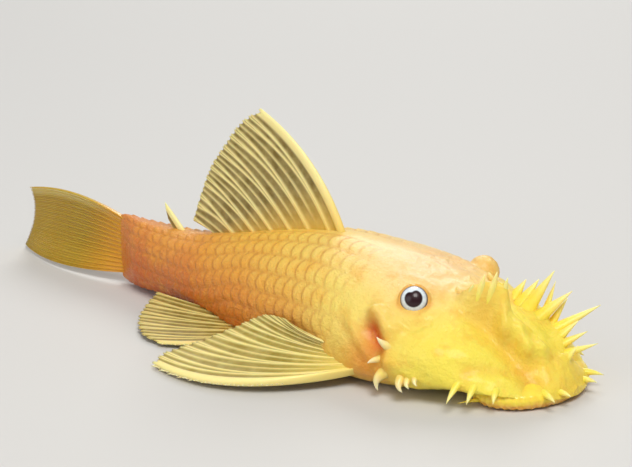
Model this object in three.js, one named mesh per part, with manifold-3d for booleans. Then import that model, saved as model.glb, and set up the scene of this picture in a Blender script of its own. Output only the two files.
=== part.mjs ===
// A male bristlenose catfish, life size, resting on its belly with its fins laid back.
// Millimetres. +X is the way the fish faces, +Y its left side, +Z up, and the floor is at z = 0.
// The origin is on the floor, under the middle of the flat belly.
//
// Every shape is first given in the fish's own measures: station (distance back from the snout tip
// along the spine), side (to the fish's left) and height (above the floor). place() then lays that
// along the bent spine.

import * as THREE from "three";
import { mergeVertices } from "three/addons/utils/BufferGeometryUtils.js";
import Module from "manifold-3d";

const wasm = await Module();
wasm.setup();

const degrees = THREE.MathUtils.degToRad;
const { lerp, smoothstep } = THREE.MathUtils;

// Driving dimensions
const STANDARD_LENGTH = 98.5; // snout tip to the root of the tail fin
const ORIGIN_STATION = 43; // the station that stands over the origin
const HEAD_END = 27.3; // the gill opening
const TORSO_END = 69.6; // under the last ray of the dorsal fin
const GAP = 0.3; // between pieces that touch
const BEND_START = 49; // the tail curves to the left from here back
const BEND_PER_MM = 0.0029; // radians of turn for each millimetre of spine

// The body's outline, each row against the stations of the first one
const STATIONS = [0, 1.5, 4, 7, 13, 21, 29, 35, 43, 51, 59, 69, 81, 92, 99];
const HALF_WIDTH = [14.4, 14.5, 14.8, 15.1, 15.7, 16.4, 16.8, 16.2, 14.6, 12.8, 10.8, 8.2, 5.2, 3.4, 2];
const TOP = [2.4, 4.5, 6.5, 8.7, 12.5, 15.9, 17.8, 18.8, 19.4, 18.7, 17.2, 15, 13.2, 13, 13.6];
const BOTTOM = [0.9, 1.2, 1.8, 2.2, 1.9, 0.3, -0.6, -0.8, -0.8, -0.8, -0.5, 0.6, 1, 0.5, 0.3];
const WIDEST = [1.2, 1.6, 2.1, 2.8, 4.2, 5.5, 6, 6, 6, 6, 6.2, 6.6, 6.8, 6.8, 7];
const ROUND_TOP = [1.35, 1.35, 1.35, 1.4, 1.6, 1.9, 2.05, 2, 1.9, 1.9, 1.9, 2, 2.2, 2.3, 2.4];
const ROUND_BOTTOM = [2.4, 2.6, 2.8, 3, 3.2, 3.4, 3.4, 3.4, 3.4, 3.2, 3, 2.6, 2.4, 2.4, 2.4];
const SNOUT_LENGTH = 18; // the snout's round front reaches back this far
const SNOUT_ROUND = 2.1; // and is about as round as an ellipse, which would be 2

// A smooth curve through a row of values that never overshoots them
function along(row, station) {
  const last = STATIONS.length - 1;
  const s = Math.min(Math.max(station, STATIONS[0]), STATIONS[last]);
  let i = 0;
  while (i < last - 1 && s > STATIONS[i + 1]) i++;
  const rise = (k) => (row[k + 1] - row[k]) / (STATIONS[k + 1] - STATIONS[k]);
  const slope = (k) => {
    if (k === 0 || k === last) return 0;
    const [before, after] = [rise(k - 1), rise(k)];
    return before * after <= 0 ? 0 : (2 * before * after) / (before + after);
  };
  const step = STATIONS[i + 1] - STATIONS[i];
  const t = (s - STATIONS[i]) / step;
  const [a, b] = [t * t * (3 - 2 * t), t * (1 - t)];
  return row[i] * (1 - a) + row[i + 1] * a + step * b * ((1 - t) * slope(i) - t * slope(i + 1));
}

function halfWidth(station) {
  const front = Math.min(station / SNOUT_LENGTH, 1);
  const round = Math.max(1 - (1 - front) ** SNOUT_ROUND, 0) ** (1 / SNOUT_ROUND);
  return along(HALF_WIDTH, station) * round;
}

// From the fish's own measures to the part's frame
function place(station, side, height) {
  const turn = Math.max(station - BEND_START, 0) * BEND_PER_MM;
  const straight = Math.min(station, BEND_START);
  const x = ORIGIN_STATION - straight - Math.sin(turn) / BEND_PER_MM;
  const y = (1 - Math.cos(turn)) / BEND_PER_MM;
  return new THREE.Vector3(x + side * Math.sin(turn), y + side * Math.cos(turn), height);
}

// The outline across the body, as [side, height], at an angle from the back (0) to the belly (PI)
function section(station, angle) {
  const [top, bottom, widest] = [TOP, BOTTOM, WIDEST].map((row) => along(row, station));
  const upper = angle < Math.PI / 2;
  const power = 2 / along(upper ? ROUND_TOP : ROUND_BOTTOM, station);
  const reach = upper ? top - widest : widest - bottom;
  const side = halfWidth(station) * Math.abs(Math.sin(angle)) ** power;
  const height = widest + Math.sign(Math.cos(angle)) * reach * Math.abs(Math.cos(angle)) ** power;
  return [side, height];
}

// The same, standing off the surface by a little
function raised(station, angle, off) {
  const step = 0.02;
  const [a, b] = [section(station, angle - step), section(station, angle + step)];
  const [side, height] = section(station, angle);
  const [ds, dh] = [b[0] - a[0], b[1] - a[1]];
  const length = Math.hypot(ds, dh) || 1;
  return [side - (off * dh) / length, height + (off * ds) / length];
}

// The height of the back at a distance to the side of the spine
function backHeight(station, side) {
  const [top, widest, round] = [TOP, WIDEST, ROUND_TOP].map((row) => along(row, station));
  const share = Math.min(Math.abs(side) / halfWidth(station), 1);
  return widest + (top - widest) * (1 - share ** round) ** (1 / round);
}

const evenCuts = (from, to, count) =>
  Array.from({ length: count + 1 }, (_, i) => from + ((to - from) * i) / count);

// Bony plates along the sides, in rows across and series along the body. Each is lowest at its
// front edge, which the plate ahead overlaps, and its rear edge runs out to a blunt point.
const PLATES_START = 30;
const PLATE_ROWS = 25;
const PLATE_LENGTH = (STANDARD_LENGTH - 1.3 - PLATES_START) / PLATE_ROWS;
const PLATE_SERIES = 5;
const PLATE_RISE = 0.38; // how far its rear edge stands over the plate behind
const PLATE_POINT = 0.8; // a rear edge reaches this much further back at its middle
const PLATE_STEP = 0.4; // the drop from one plate to the next takes this much length
const PLATES_BACK = degrees(8); // the first series starts this far down from the back's ridge

const plateRear = (row) => PLATES_START + row * PLATE_LENGTH;
// The naked belly stops the plates low on the side, and behind the vent they reach underneath
const plateLimit = (station) => degrees(lerp(115, 165, smoothstep(station, 58, 76)));

// A ring of points has one step over the back's ridge on each side, two across each plate and
// four across the belly. Here are a step's angle, and its share of a plate's rise and point.
const PLATE_STEPS = 2;
const SIDE_STEPS = 1 + PLATE_SERIES * PLATE_STEPS;
const BELLY_STEPS = 4;
const AROUND = SIDE_STEPS + BELLY_STEPS; // steps from back to belly on each side

function stepAngle(station, step) {
  const limit = plateLimit(station);
  if (step > SIDE_STEPS) return lerp(limit, Math.PI, (step - SIDE_STEPS) / BELLY_STEPS);
  return step === 0 ? 0 : lerp(PLATES_BACK, limit, (step - 1) / (SIDE_STEPS - 1));
}

function stepBulge(step) {
  if (step === 0 || step >= SIDE_STEPS) return 0;
  return Math.sin((Math.PI * ((step - 1) % PLATE_STEPS)) / PLATE_STEPS);
}

// Where rings cross the body, as [station, rise of the plates there, share of the rear points]
const snoutCuts = [0.05, 0.3, 0.8, 1.6, 2.8, 4.4, 6.4, 8.6, 10.8].map((station) => [station, 0, 0]);
const headCuts = evenCuts(13, PLATES_START - 2, 11).map((station) => [station, 0, 0]);
const plateCuts = Array.from({ length: PLATE_ROWS + 1 }, (_, row) => [
  [plateRear(row), row > 0 ? PLATE_RISE : 0, 1],
  [plateRear(row) + PLATE_STEP, 0, 1],
]).flat();
const bodyCuts = [...snoutCuts, ...headCuts, ...plateCuts];

// Closed surface over a list of rings, each a list of points, with a fan at each end
function skin(rings) {
  const count = rings[0].length;
  const points = rings.flat();
  const faces = [];
  const centre = (ring) =>
    ring.reduce((sum, p) => sum.add(p), new THREE.Vector3()).divideScalar(count);
  points.push(centre(rings[0]), centre(rings.at(-1)));
  const [front, back] = [points.length - 2, points.length - 1];
  const backRing = (rings.length - 1) * count;
  for (let k = 0; k < count; k++) {
    const next = (k + 1) % count;
    faces.push(front, next, k, back, backRing + k, backRing + next);
    for (let r = 0; r < rings.length - 1; r++) {
      const [a, b] = [r * count + k, r * count + next];
      faces.push(a, b, a + count, b, b + count, a + count);
    }
  }
  return closed(points, faces);
}

function closed(points, faces) {
  const geometry = new THREE.BufferGeometry().setFromPoints(points);
  geometry.setIndex(faces);
  return geometry;
}

// A three.js geometry as a manifold solid, turned the right way out, and back again
function solid(geometry) {
  const bare = geometry.clone();
  bare.deleteAttribute("normal");
  bare.deleteAttribute("uv");
  const merged = mergeVertices(bare, 1e-4);
  const triVerts = new Uint32Array(merged.index.array);
  const vertProperties = merged.attributes.position.array;
  const made = new wasm.Manifold(new wasm.Mesh({ numProp: 3, vertProperties, triVerts }));
  if (made.volume() > 0) return made;
  triVerts.reverse();
  return new wasm.Manifold(new wasm.Mesh({ numProp: 3, vertProperties, triVerts }));
}

function largest(shape) {
  return shape.decompose().reduce((best, one) => (one.volume() > best.volume() ? one : best));
}

function surface(shape) {
  const mesh = shape.getMesh();
  const geometry = new THREE.BufferGeometry();
  const positions = new THREE.BufferAttribute(new Float32Array(mesh.vertProperties), 3);
  geometry.setAttribute("position", positions);
  geometry.setIndex(new THREE.BufferAttribute(new Uint32Array(mesh.triVerts), 1));
  return geometry;
}

// A length of the body between two stations, its surface moved out by an offset
function bodyLength(from, to, offset = 0) {
  const inside = bodyCuts.filter(([station]) => station > from && station + PLATE_POINT < to);
  const rings = [[from, 0, 0], ...inside, [to, 0, 0]].map(([station, rise, point]) =>
    Array.from({ length: 2 * AROUND }, (_, k) => {
      const step = k <= AROUND ? k : 2 * AROUND - k;
      const bulge = point * stepBulge(step);
      const there = station + PLATE_POINT * bulge;
      const [side, height] = raised(there, stepAngle(there, step), offset + rise * bulge);
      return place(there, (k <= AROUND ? -1 : 1) * side, Math.max(height, -offset));
    }),
  );
  return solid(skin(rings));
}

const bodyWithGap = bodyLength(0.02, STANDARD_LENGTH + GAP, GAP);

// A fin: rays fan from a root line to a tip line, and each bows between them. Lines are given as a
// few points in the fish's own measures.
function line(points, share) {
  const spans = points.length - 1;
  const i = Math.min(Math.floor(share * spans), spans - 1);
  const t = share * spans - i;
  const at = (k) => points[Math.min(Math.max(k, 0), spans)];
  return [0, 1, 2].map((axis) => {
    const [p0, p1, p2, p3] = [at(i - 1), at(i), at(i + 1), at(i + 2)].map((p) => p[axis]);
    const [v0, v1] = [(p2 - p0) / 2, (p3 - p1) / 2];
    const bend = (2 * p1 - 2 * p2 + v0 + v1) * t ** 3 + (3 * p2 - 3 * p1 - 2 * v0 - v1) * t ** 2;
    return bend + v0 * t + p1;
  });
}

// A curve that leaves a root, bows by a given amount and ends at a tip
const bowed = (root, bow, tip, out) =>
  [0, 1, 2].map((axis) => {
    const middle = (root[axis] + tip[axis]) / 2 + bow[axis];
    return root[axis] * (1 - out) ** 2 + 2 * middle * out * (1 - out) + tip[axis] * out ** 2;
  });

function finPoint(fin, across, out) {
  const [root, bow, tip] = [fin.roots, fin.bows, fin.tips].map((points) => line(points, across));
  return place(...bowed(root, bow, tip, out));
}

function finNormal(fin, across, out) {
  const step = 0.01;
  const [a, b] = [Math.max(across - step, 0), Math.min(across + step, 1)];
  const [c, d] = [Math.max(out - step, 0), Math.min(out + step, 1)];
  const alongFan = finPoint(fin, b, out).sub(finPoint(fin, a, out));
  const alongRay = finPoint(fin, across, d).sub(finPoint(fin, across, c));
  return alongFan.cross(alongRay).normalize();
}

const MEMBRANE = 0.5; // thickness between the rays
const RAY = 0.95; // thickness at a ray's root
const RAY_END = 0.65; // and at its tip
const RIM_SHARE = 0.65; // a fin's rim has this share of the thickness further in
const RIM_NOTCH = 0.02; // and it is let in by this share of a ray's length between two rays
const FORK = 0.4; // a ray forks this far out

// The ridges of a fin's rays, cut this far out, as [place across the fan, thickness]
function finColumns(fin, out) {
  const pitch = 1 / (fin.rays - 1);
  const crest = lerp(RAY, RAY_END, out);
  const columns = [[0, lerp(fin.spine, fin.spine / 2, out)], [0.2 * pitch, MEMBRANE]];
  for (let ray = 1; ray < fin.rays - 1; ray++) {
    const middle = ray * pitch;
    if (!fin.forked) {
      columns.push([middle - 0.2 * pitch, MEMBRANE], [middle, crest], [middle + 0.2 * pitch, MEMBRANE]);
      continue;
    }
    const prong = pitch * lerp(0.05, 0.22, smoothstep(out, FORK, 1));
    const foot = prong + 0.13 * pitch;
    const cleft = lerp(crest, MEMBRANE, smoothstep(out, FORK, FORK + 0.2));
    columns.push([middle - foot, MEMBRANE], [middle - prong, crest], [middle, cleft]);
    columns.push([middle + prong, crest], [middle + foot, MEMBRANE]);
  }
  return [...columns, [1 - 0.2 * pitch, MEMBRANE], [1, crest]];
}

function finSolid(fin) {
  const [front, back] = [[], []];
  for (const out of evenCuts(0, 1, fin.rows)) {
    for (const [across, thickness] of finColumns(fin, out)) {
      const notch = out === 1 && thickness === MEMBRANE ? RIM_NOTCH : 0;
      const centre = finPoint(fin, across, out - notch);
      const normal = finNormal(fin, across, out);
      const rim = out === 1 ? RIM_SHARE : 1;
      const swell = 1 + fin.rootSwell * (1 - out) ** 3;
      const half = (thickness * rim * swell) / 2;
      front.push(centre.clone().addScaledVector(normal, half));
      back.push(centre.clone().addScaledVector(normal, -half));
    }
  }
  const wide = finColumns(fin, 0).length;
  const other = front.length;
  const faces = [];
  for (let r = 0; r < fin.rows; r++) {
    for (let c = 0; c < wide - 1; c++) {
      const [a, b] = [r * wide + c, r * wide + c + 1];
      const [d, e] = [a + wide, b + wide];
      faces.push(a, b, d, b, e, d);
      faces.push(a + other, d + other, b + other, b + other, d + other, e + other);
    }
    for (const c of [0, wide - 1]) {
      const [a, d] = [r * wide + c, (r + 1) * wide + c];
      const quad = [a, d, a + other, d, d + other, a + other];
      faces.push(...(c === 0 ? quad : quad.reverse()));
    }
  }
  for (const r of [0, fin.rows]) {
    for (let c = 0; c < wide - 1; c++) {
      const [a, b] = [r * wide + c, r * wide + c + 1];
      const quad = [a, a + other, b, b, a + other, b + other];
      faces.push(...(r === 0 ? quad : quad.reverse()));
    }
  }
  return largest(solid(closed([...front, ...back], faces)).subtract(bodyWithGap));
}

const mirrored = (points) => points.map(([station, side, height]) => [station, -side, height]);
const otherHand = (fin) => ({
  ...fin,
  roots: mirrored(fin.roots),
  tips: mirrored(fin.tips),
  bows: mirrored(fin.bows),
});

const dorsalFin = {
  roots: [[43.4, 0, 17], [52, 0, 16.4], [61, 0, 14.6], [70, 0, 12.6]],
  tips: [[62.2, 0, 37.8], [67, 0, 34.8], [71, 0, 30.2], [74.2, 0, 26], [76.4, 0, 21.4], [78.8, 0, 15.4]],
  bows: [[-4.1, 0, 4.1], [-2.6, 0, 2.4], [-1.4, 0, 1.2], [-0.4, 0, 0.4]],
  rays: 8,
  forked: true,
  rows: 6,
  spine: 1.3,
  rootSwell: 0.8,
};
const adiposeFin = {
  roots: [[79.4, 0, 11.6], [80.6, 0, 11.4], [82, 0, 11.2]],
  tips: [[86, 0, 17.5], [85.9, 0, 16.3], [85.2, 0, 14.6]],
  bows: [[-0.3, 0, 0.3], [-0.2, 0, -0.2], [-0.2, 0, -0.6]],
  rays: 2,
  forked: false,
  rows: 3,
  spine: 1,
  rootSwell: 0.6,
};
const caudalFin = {
  roots: [[95.4, 0, 12], [96.6, 0, 9], [97, 0, 5.4], [97.2, -0.3, 2]],
  tips: [[129, 0, 12.4], [128.3, 0.3, 9.4], [128.6, 0.2, 6], [129.6, -0.2, 3], [130.6, -0.6, 0.6]],
  bows: [[0, 0, 4.2], [0, 0, 1.8], [0, -1.5, 0.2], [0, -6, -1]],
  rays: 16,
  forked: false,
  rows: 6,
  spine: 1.2,
  rootSwell: 0.8,
};
const analFin = {
  roots: [[72.5, 0.3, 1.9], [74.5, 0.5, 2], [76.5, 0.6, 2.1]],
  tips: [[84, 1.8, 0.5], [86, 2.8, 0.75], [86.4, 3.8, 1.3]],
  bows: [[-0.4, 0.2, -0.6], [0, 0.3, -0.5], [0, 0.3, -0.4]],
  rays: 5,
  forked: false,
  rows: 3,
  spine: 0.8,
  rootSwell: 0.3,
};
const pectoralFin = {
  roots: [[29.5, -14.2, 2.6], [30.4, -14.2, 3.4], [31.8, -14.2, 4.3], [33.4, -14.2, 5.2]],
  tips: [
    [61, -28.5, 0.7],
    [61.4, -25.2, 1.6],
    [58.4, -19.8, 3],
    [55, -14.8, 5],
    [50, -14.4, 7.7],
    [44.5, -15.6, 8.4],
  ],
  bows: [[-3.5, -15.6, -0.4], [-2, -8, -0.2], [-0.8, -4.4, 0.2], [0, -3.2, 0.4]],
  rays: 7,
  forked: true,
  rows: 6,
  spine: 1.9,
  rootSwell: 0.8,
};
const pelvicFin = {
  roots: [[54.4, -7.6, 1.6], [55.6, -7.2, 2], [57.2, -6.6, 2.6]],
  tips: [
    [66.5, -21, 0.7],
    [71.7, -19.8, 0.9],
    [76.5, -15.9, 1.4],
    [79.2, -11.7, 2.2],
    [81.3, -6.7, 3.3],
  ],
  bows: [[-4, -2.6, 0], [-2, -1.6, 0.2], [-0.4, -1, 0.2]],
  rays: 6,
  forked: true,
  rows: 5,
  spine: 1.2,
  rootSwell: 0.6,
};

// A tapering, bending spine or tentacle from a root through a bow to its tip
const SPINE_SIDES = 6;
const SPINE_TAPER = [1, 0.86, 0.6, 0.12]; // its radius at even steps from root to tip

function spike(root, bow, tip, radius) {
  const steps = SPINE_TAPER.length - 1;
  const at = (out) => place(...bowed(root, bow, tip, out));
  const rings = SPINE_TAPER.map((share, i) => {
    const before = at(Math.max(i - 0.5, 0) / steps);
    const forward = at(Math.min(i + 0.5, steps) / steps).sub(before).normalize();
    const turn = new THREE.Quaternion().setFromUnitVectors(new THREE.Vector3(0, 0, 1), forward);
    return Array.from({ length: SPINE_SIDES }, (_, k) => {
      const angle = (2 * Math.PI * k) / SPINE_SIDES;
      const spoke = new THREE.Vector3(Math.cos(angle), Math.sin(angle), 0);
      return spoke.multiplyScalar(radius * share).applyQuaternion(turn).add(at(i / steps));
    });
  });
  return solid(skin(rings));
}

// The soft bristles of the snout. They stand in a Y, its stem up the middle of the snout and its
// arms running back towards the eyes, and a shorter row fringes the snout's edge.
const BRISTLE_SUNK = 1.3; // the root lies this far under the skin

// Each as [station, side, reach ahead, reach outwards, reach up, radius], its side and reaches
// given for the left. They grow unevenly, so the two sides differ.
const leftBristles = [
  [15.6, 6.4, 1.2, 1.6, 2.2, 1.15],
  [13.9, 5.8, 1.7, 2.4, 3.3, 1.25],
  [12.2, 5.2, 2.4, 3.6, 5.8, 1.35],
  [10.6, 7, 0.3, 3.2, 5.4, 0.75],
  [10.2, 4.4, 3.8, 4.2, 4.2, 1.45],
  [9, 6.2, 1.4, 3.2, 4.2, 0.9],
  [8, 4.9, 5.4, 6.1, 3.8, 1.3],
  [6.7, 4, 2.5, 3, 2.6, 1.1],
  [5.8, 3.2, 3.4, 3.6, 1.7, 1.05],
  [4.6, 2.5, 4.5, 3.5, 1.1, 1],
  [3.3, 1.2, 1.4, 1.8, 1.9, 0.85],
];
const rightBristles = [
  [17.2, 5.4, 1.8, 0.6, 3.6, 1.2],
  [15.6, 4.6, 1.5, 0.4, 5.6, 1.45],
  [14.2, 3.7, 1.7, 0.3, 6.6, 1.55],
  [12.8, 2.8, 1.6, 0.2, 6.2, 1.45],
  [11.4, 4.4, 2, 2.2, 2.4, 1.5],
  [9.7, 2.8, 2.2, 1.8, 2.2, 1.75],
  [7.6, 3.6, 2.6, 2.6, 1.6, 1.5],
  [5.9, 2, 2.4, 1.8, 1.6, 1.55],
  [4.3, 2.8, 2.4, 1.6, 1, 1.2],
  [3, 1.2, 1.8, 1.4, 1, 1],
];

function yBristle([station, side, ahead, outward, rise, radius], hand) {
  const height = backHeight(station, side);
  const root = [station + 0.3 * ahead, hand * (side - 0.2 * outward), height - BRISTLE_SUNK];
  const tip = [station - ahead, hand * (side + outward), height + rise];
  return spike(root, [0.1 * ahead, 0, 0.1 * rise], tip, radius);
}

// Thin bristles round the snout's edge, each as [station, bearing from straight ahead, length]
const edgeBristles = [
  [0.5, 12, 1.6],
  [1.7, 32, 2.4],
  [7.3, 68, 1.8],
  [10.2, 80, 2.8],
  [12.4, 88, 3.6],
];

function edgeBristle([station, bearing, length], hand) {
  const [ahead, out] = [Math.cos(degrees(bearing)), Math.sin(degrees(bearing))];
  const [edge, height] = [halfWidth(station), along(WIDEST, station)];
  const root = [station + BRISTLE_SUNK * ahead, hand * (edge - BRISTLE_SUNK * out), height + 0.6];
  const droop = Math.max(height - 0.7 * length, 2);
  const tip = [station - length * ahead, hand * (edge + length * out * 0.8), droop];
  return spike(root, [0, 0, 0.5], tip, 0.5);
}

// Hooked spines on the cheek, just ahead of the gill opening, each as [root, bow, tip, radius]
const cheekSpines = [
  [[22.6, -14.2, 7.2], [0.4, -0.8, -0.6], [25.2, -17.7, 9.8], 0.95],
  [[23.2, -14.4, 6.2], [1.4, -1, 0.2], [26.6, -18.1, 5.4], 0.7],
  [[22.6, -14.4, 4.8], [2.6, -2, 0.8], [24.7, -17.9, 1.3], 1.05],
  [[21.4, -14.4, 4.2], [1, -2.2, 0.2], [20.2, -17.9, 2], 0.85],
  [[20.2, -14.6, 4.2], [0.8, -1.6, 0], [19.2, -17.6, 2.7], 0.65],
  [[19.2, -14.6, 4.6], [0.6, -1.4, 0], [18, -17.2, 3.3], 0.6],
];

// Eyes, high on the sides of the head
const EYE_RADIUS = 2.35;
const EYE_STATION = 23.6;
const EYE_ANGLE = degrees(38);
const EYE_SUNK = 0.3; // the ball's centre lies this far under the skin

function eyeCentre(hand) {
  const [side, height] = raised(EYE_STATION, EYE_ANGLE, -EYE_SUNK);
  return place(EYE_STATION, hand * side, height);
}

// A raised ring of skin round the eye
const ORBIT_RADIUS = 2.75;
const ORBIT_THICKNESS = 0.62;

function orbitRim(hand) {
  const at = (off) => {
    const [side, height] = raised(EYE_STATION, EYE_ANGLE, off);
    return place(EYE_STATION, hand * side, height);
  };
  const outward = at(1).sub(at(0)).normalize();
  const turn = new THREE.Quaternion().setFromUnitVectors(new THREE.Vector3(0, 0, 1), outward);
  const ring = new THREE.TorusGeometry(ORBIT_RADIUS, ORBIT_THICKNESS, 7, 24).applyQuaternion(turn);
  return solid(ring.translate(...at(-0.1).toArray()));
}

// Nostrils between the eyes and the bristles: a pit, with a flap of skin standing behind it
const NOSTRIL_STATION = 18.2;
const NOSTRIL_SIDE = 4.6;
const NOSTRIL_RADIUS = 0.8;

function nostrilPit(hand) {
  const height = backHeight(NOSTRIL_STATION, NOSTRIL_SIDE);
  return ball(place(NOSTRIL_STATION, hand * NOSTRIL_SIDE, height), NOSTRIL_RADIUS, 1);
}

function nostrilFlap(hand) {
  const station = NOSTRIL_STATION + NOSTRIL_RADIUS;
  const height = backHeight(station, NOSTRIL_SIDE);
  const root = [station, hand * NOSTRIL_SIDE, height - 1];
  return spike(root, [0, 0, 0], [station + 0.3, hand * NOSTRIL_SIDE, height + 1.2], NOSTRIL_RADIUS);
}

function ball(centre, radius, detail) {
  return solid(new THREE.IcosahedronGeometry(radius, detail).translate(...centre.toArray()));
}

// The sucker mouth: a flat ring of lips under the snout, hollow in the middle
const MOUTH_STATION = 8.6;
const MOUTH_LENGTH = 8.2; // half of it, along the fish
const MOUTH_WIDTH = 12; // half of it
const MOUTH_PROFILE = [
  [0, 2.6],
  [0.8, 2.4],
  [0.93, 1.8],
  [1, 1.1],
  [0.98, 0.45],
  [0.9, 0],
  [0.5, 0],
  [0.38, 0.4],
  [0.3, 0.9],
  [0, 0.9],
]; // share of the way out to the rim, and height

// A short feeler at each corner, from its root to its tip
const BARBEL = [[10, 10.2, 1], [12.6, 14.2, 0.9]];
const BARBEL_RADIUS = 0.5;

function mouthSolid() {
  const profile = MOUTH_PROFILE.map(([share, height]) => new THREE.Vector2(share, height));
  const lathe = new THREE.LatheGeometry(profile, 28).rotateX(Math.PI / 2);
  lathe.scale(MOUTH_LENGTH, MOUTH_WIDTH, 1);
  const centre = place(MOUTH_STATION, 0, 0);
  let mouth = solid(lathe.translate(centre.x, centre.y, 0));
  for (const hand of [-1, 1]) {
    const [root, tip] = BARBEL.map(([station, side, height]) => [station, hand * side, height]);
    mouth = mouth.add(spike(root, [0, 0, 0.2], tip, BARBEL_RADIUS));
  }
  return largest(mouth.subtract(bodyWithGap));
}

// Colours and finish
const finish = (color, roughness) => new THREE.MeshStandardMaterial({ color, roughness, metalness: 0 });
const skinYellow = finish(0xf6cf4a, 0.45);
const flankOrange = finish(0xf2a13a, 0.5);
const finYellow = finish(0xe6d070, 0.5);
const eyeBlue = finish(0xc6dbe8, 0.15);
const lipAmber = finish(0xf4c27a, 0.5);

const fish = new THREE.Group();
function add(name, shape, material) {
  const mesh = new THREE.Mesh(surface(shape), material);
  mesh.name = name;
  fish.add(mesh);
}

let head = bodyLength(0.05, HEAD_END);
for (const hand of [-1, 1]) {
  const across = ([station, side, height]) => [station, -hand * side, height];
  for (const [root, bow, tip, radius] of cheekSpines) {
    head = head.add(spike(across(root), across(bow), across(tip), radius));
  }
  const bristles = hand < 0 ? rightBristles : leftBristles;
  for (const bristle of bristles) head = head.add(yBristle(bristle, hand));
  for (const bristle of edgeBristles) head = head.add(edgeBristle(bristle, hand));
  head = head.add(orbitRim(hand)).subtract(ball(eyeCentre(hand), EYE_RADIUS + GAP, 2));
  head = head.subtract(nostrilPit(hand)).add(nostrilFlap(hand));
}
add("head", largest(head), skinYellow);
add("sucker_mouth", mouthSolid(), lipAmber);
add("torso", bodyLength(HEAD_END + GAP, TORSO_END), skinYellow);
add("tail", bodyLength(TORSO_END + GAP, STANDARD_LENGTH), flankOrange);
add("dorsal_fin", finSolid(dorsalFin), finYellow);
add("adipose_fin", finSolid(adiposeFin), finYellow);
add("caudal_fin", finSolid(caudalFin), finYellow);
add("anal_fin", finSolid(analFin), finYellow);
for (const [hand, word] of [[-1, "right"], [1, "left"]]) {
  const ofHand = (fin) => (hand < 0 ? fin : otherHand(fin));
  add(`pectoral_fin_${word}`, finSolid(ofHand(pectoralFin)), finYellow);
  add(`pelvic_fin_${word}`, finSolid(ofHand(pelvicFin)), finYellow);
  add(`eye_${word}`, ball(eyeCentre(hand), EYE_RADIUS, 2), eyeBlue);
}

export default fish;
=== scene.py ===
# %% [markdown]
# # A bristlenose catfish, life size
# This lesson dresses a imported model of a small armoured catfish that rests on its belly. The
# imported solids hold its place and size. Here it gets one soft skin with bony plates, a bushy
# snout, thin fins on branching rays, wet eyes and a sucker mouth. Everything is in metres, so
# a length that is easier to think of in millimetres is multiplied by MM.

from math import atan2, copysign, cos, exp, hypot, pi, radians, sin, sqrt

import bmesh
import bpy
from mathutils import Matrix, Vector, noise


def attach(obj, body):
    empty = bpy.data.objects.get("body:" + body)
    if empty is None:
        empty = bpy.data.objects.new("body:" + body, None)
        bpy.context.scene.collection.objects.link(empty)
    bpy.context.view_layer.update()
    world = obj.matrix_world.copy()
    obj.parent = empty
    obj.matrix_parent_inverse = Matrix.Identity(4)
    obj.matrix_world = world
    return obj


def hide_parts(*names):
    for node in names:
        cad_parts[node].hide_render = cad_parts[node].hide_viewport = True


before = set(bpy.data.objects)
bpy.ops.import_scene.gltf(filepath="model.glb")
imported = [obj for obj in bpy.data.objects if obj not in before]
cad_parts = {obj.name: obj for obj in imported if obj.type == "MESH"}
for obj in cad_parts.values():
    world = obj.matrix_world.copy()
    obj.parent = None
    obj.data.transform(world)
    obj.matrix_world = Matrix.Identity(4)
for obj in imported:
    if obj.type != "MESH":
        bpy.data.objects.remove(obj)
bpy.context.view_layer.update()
MM = 0.001

# %% [markdown]
# ## Camera
# The fish is seen from in front of its right side and a little above. A long lens far away
# keeps the snout from looking swollen. The camera could be aimed with a constraint, but a
# rotation made from the viewing direction stays plain and needs nothing else in the scene.

# %% Camera
AZIMUTH = radians(37.39)
ELEVATION = radians(15.48)
DISTANCE = 300.7 * MM
AIM = Vector((-7.35, 0, 18.04)) * MM
LENS = 102.76

camera_data = bpy.data.cameras.new("camera")
camera_data.lens = LENS
camera_data.sensor_width = 36
camera_data.clip_start = 0.01
camera = bpy.data.objects.new("camera", camera_data)
bpy.context.collection.objects.link(camera)
towards_camera = Vector((
    sin(AZIMUTH) * cos(ELEVATION),
    -cos(AZIMUTH) * cos(ELEVATION),
    sin(ELEVATION),
))
camera.location = AIM + towards_camera * DISTANCE
camera.rotation_euler = towards_camera.to_track_quat("Z", "Y").to_euler()
bpy.context.scene.camera = camera
print("camera at", [round(v / MM, 1) for v in camera.location])

# %% [markdown]
# ## Floor and light
# A large pale disc stands for the floor. A wide soft lamp above and in front of the fish
# makes the broad highlight along its back, a lower one on the right fills the belly side, and
# a third behind it shines through the thin fins. The world adds a pale even light.


# %% Helpers for pieces and materials
def finish_piece(mesh_bm, name, smooth=True):
    """Makes an object of a bmesh, with its normals outwards, and links it."""
    bmesh.ops.recalc_face_normals(mesh_bm, faces=mesh_bm.faces)
    mesh = bpy.data.meshes.new(name)
    mesh_bm.to_mesh(mesh)
    mesh_bm.free()
    mesh.shade_smooth() if smooth else mesh.shade_flat()
    piece = bpy.data.objects.new(name, mesh)
    bpy.context.collection.objects.link(piece)
    return piece


def new_layer(mesh_bm, name):
    """A number for each vertex, which a material can read."""
    return mesh_bm.verts.layers.float.new(name)


def new_material(name):
    """A material, its Principled shader and a maker of further nodes."""
    material = bpy.data.materials.new(name)
    material.use_nodes = True
    tree = material.node_tree
    shader = tree.nodes["Principled BSDF"]

    def add(kind, **inputs):
        node = tree.nodes.new(kind)
        for key, value in inputs.items():
            if hasattr(node, key):
                setattr(node, key, value)
            else:
                node.inputs[key.replace("_", " ")].default_value = value
        return node

    return material, shader, add


def feed(socket, value):
    """Sets a node's input to a value, or links it to another node's output."""
    if isinstance(value, bpy.types.NodeSocket):
        socket.id_data.links.new(value, socket)
    else:
        socket.default_value = value


def set_inputs(shader, values):
    for name, value in values.items():
        feed(shader.inputs[name], value)


# %% Floor
FLOOR_RADIUS = 8
FLOOR_COLOUR = (0.60, 0.59, 0.57, 1)

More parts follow.
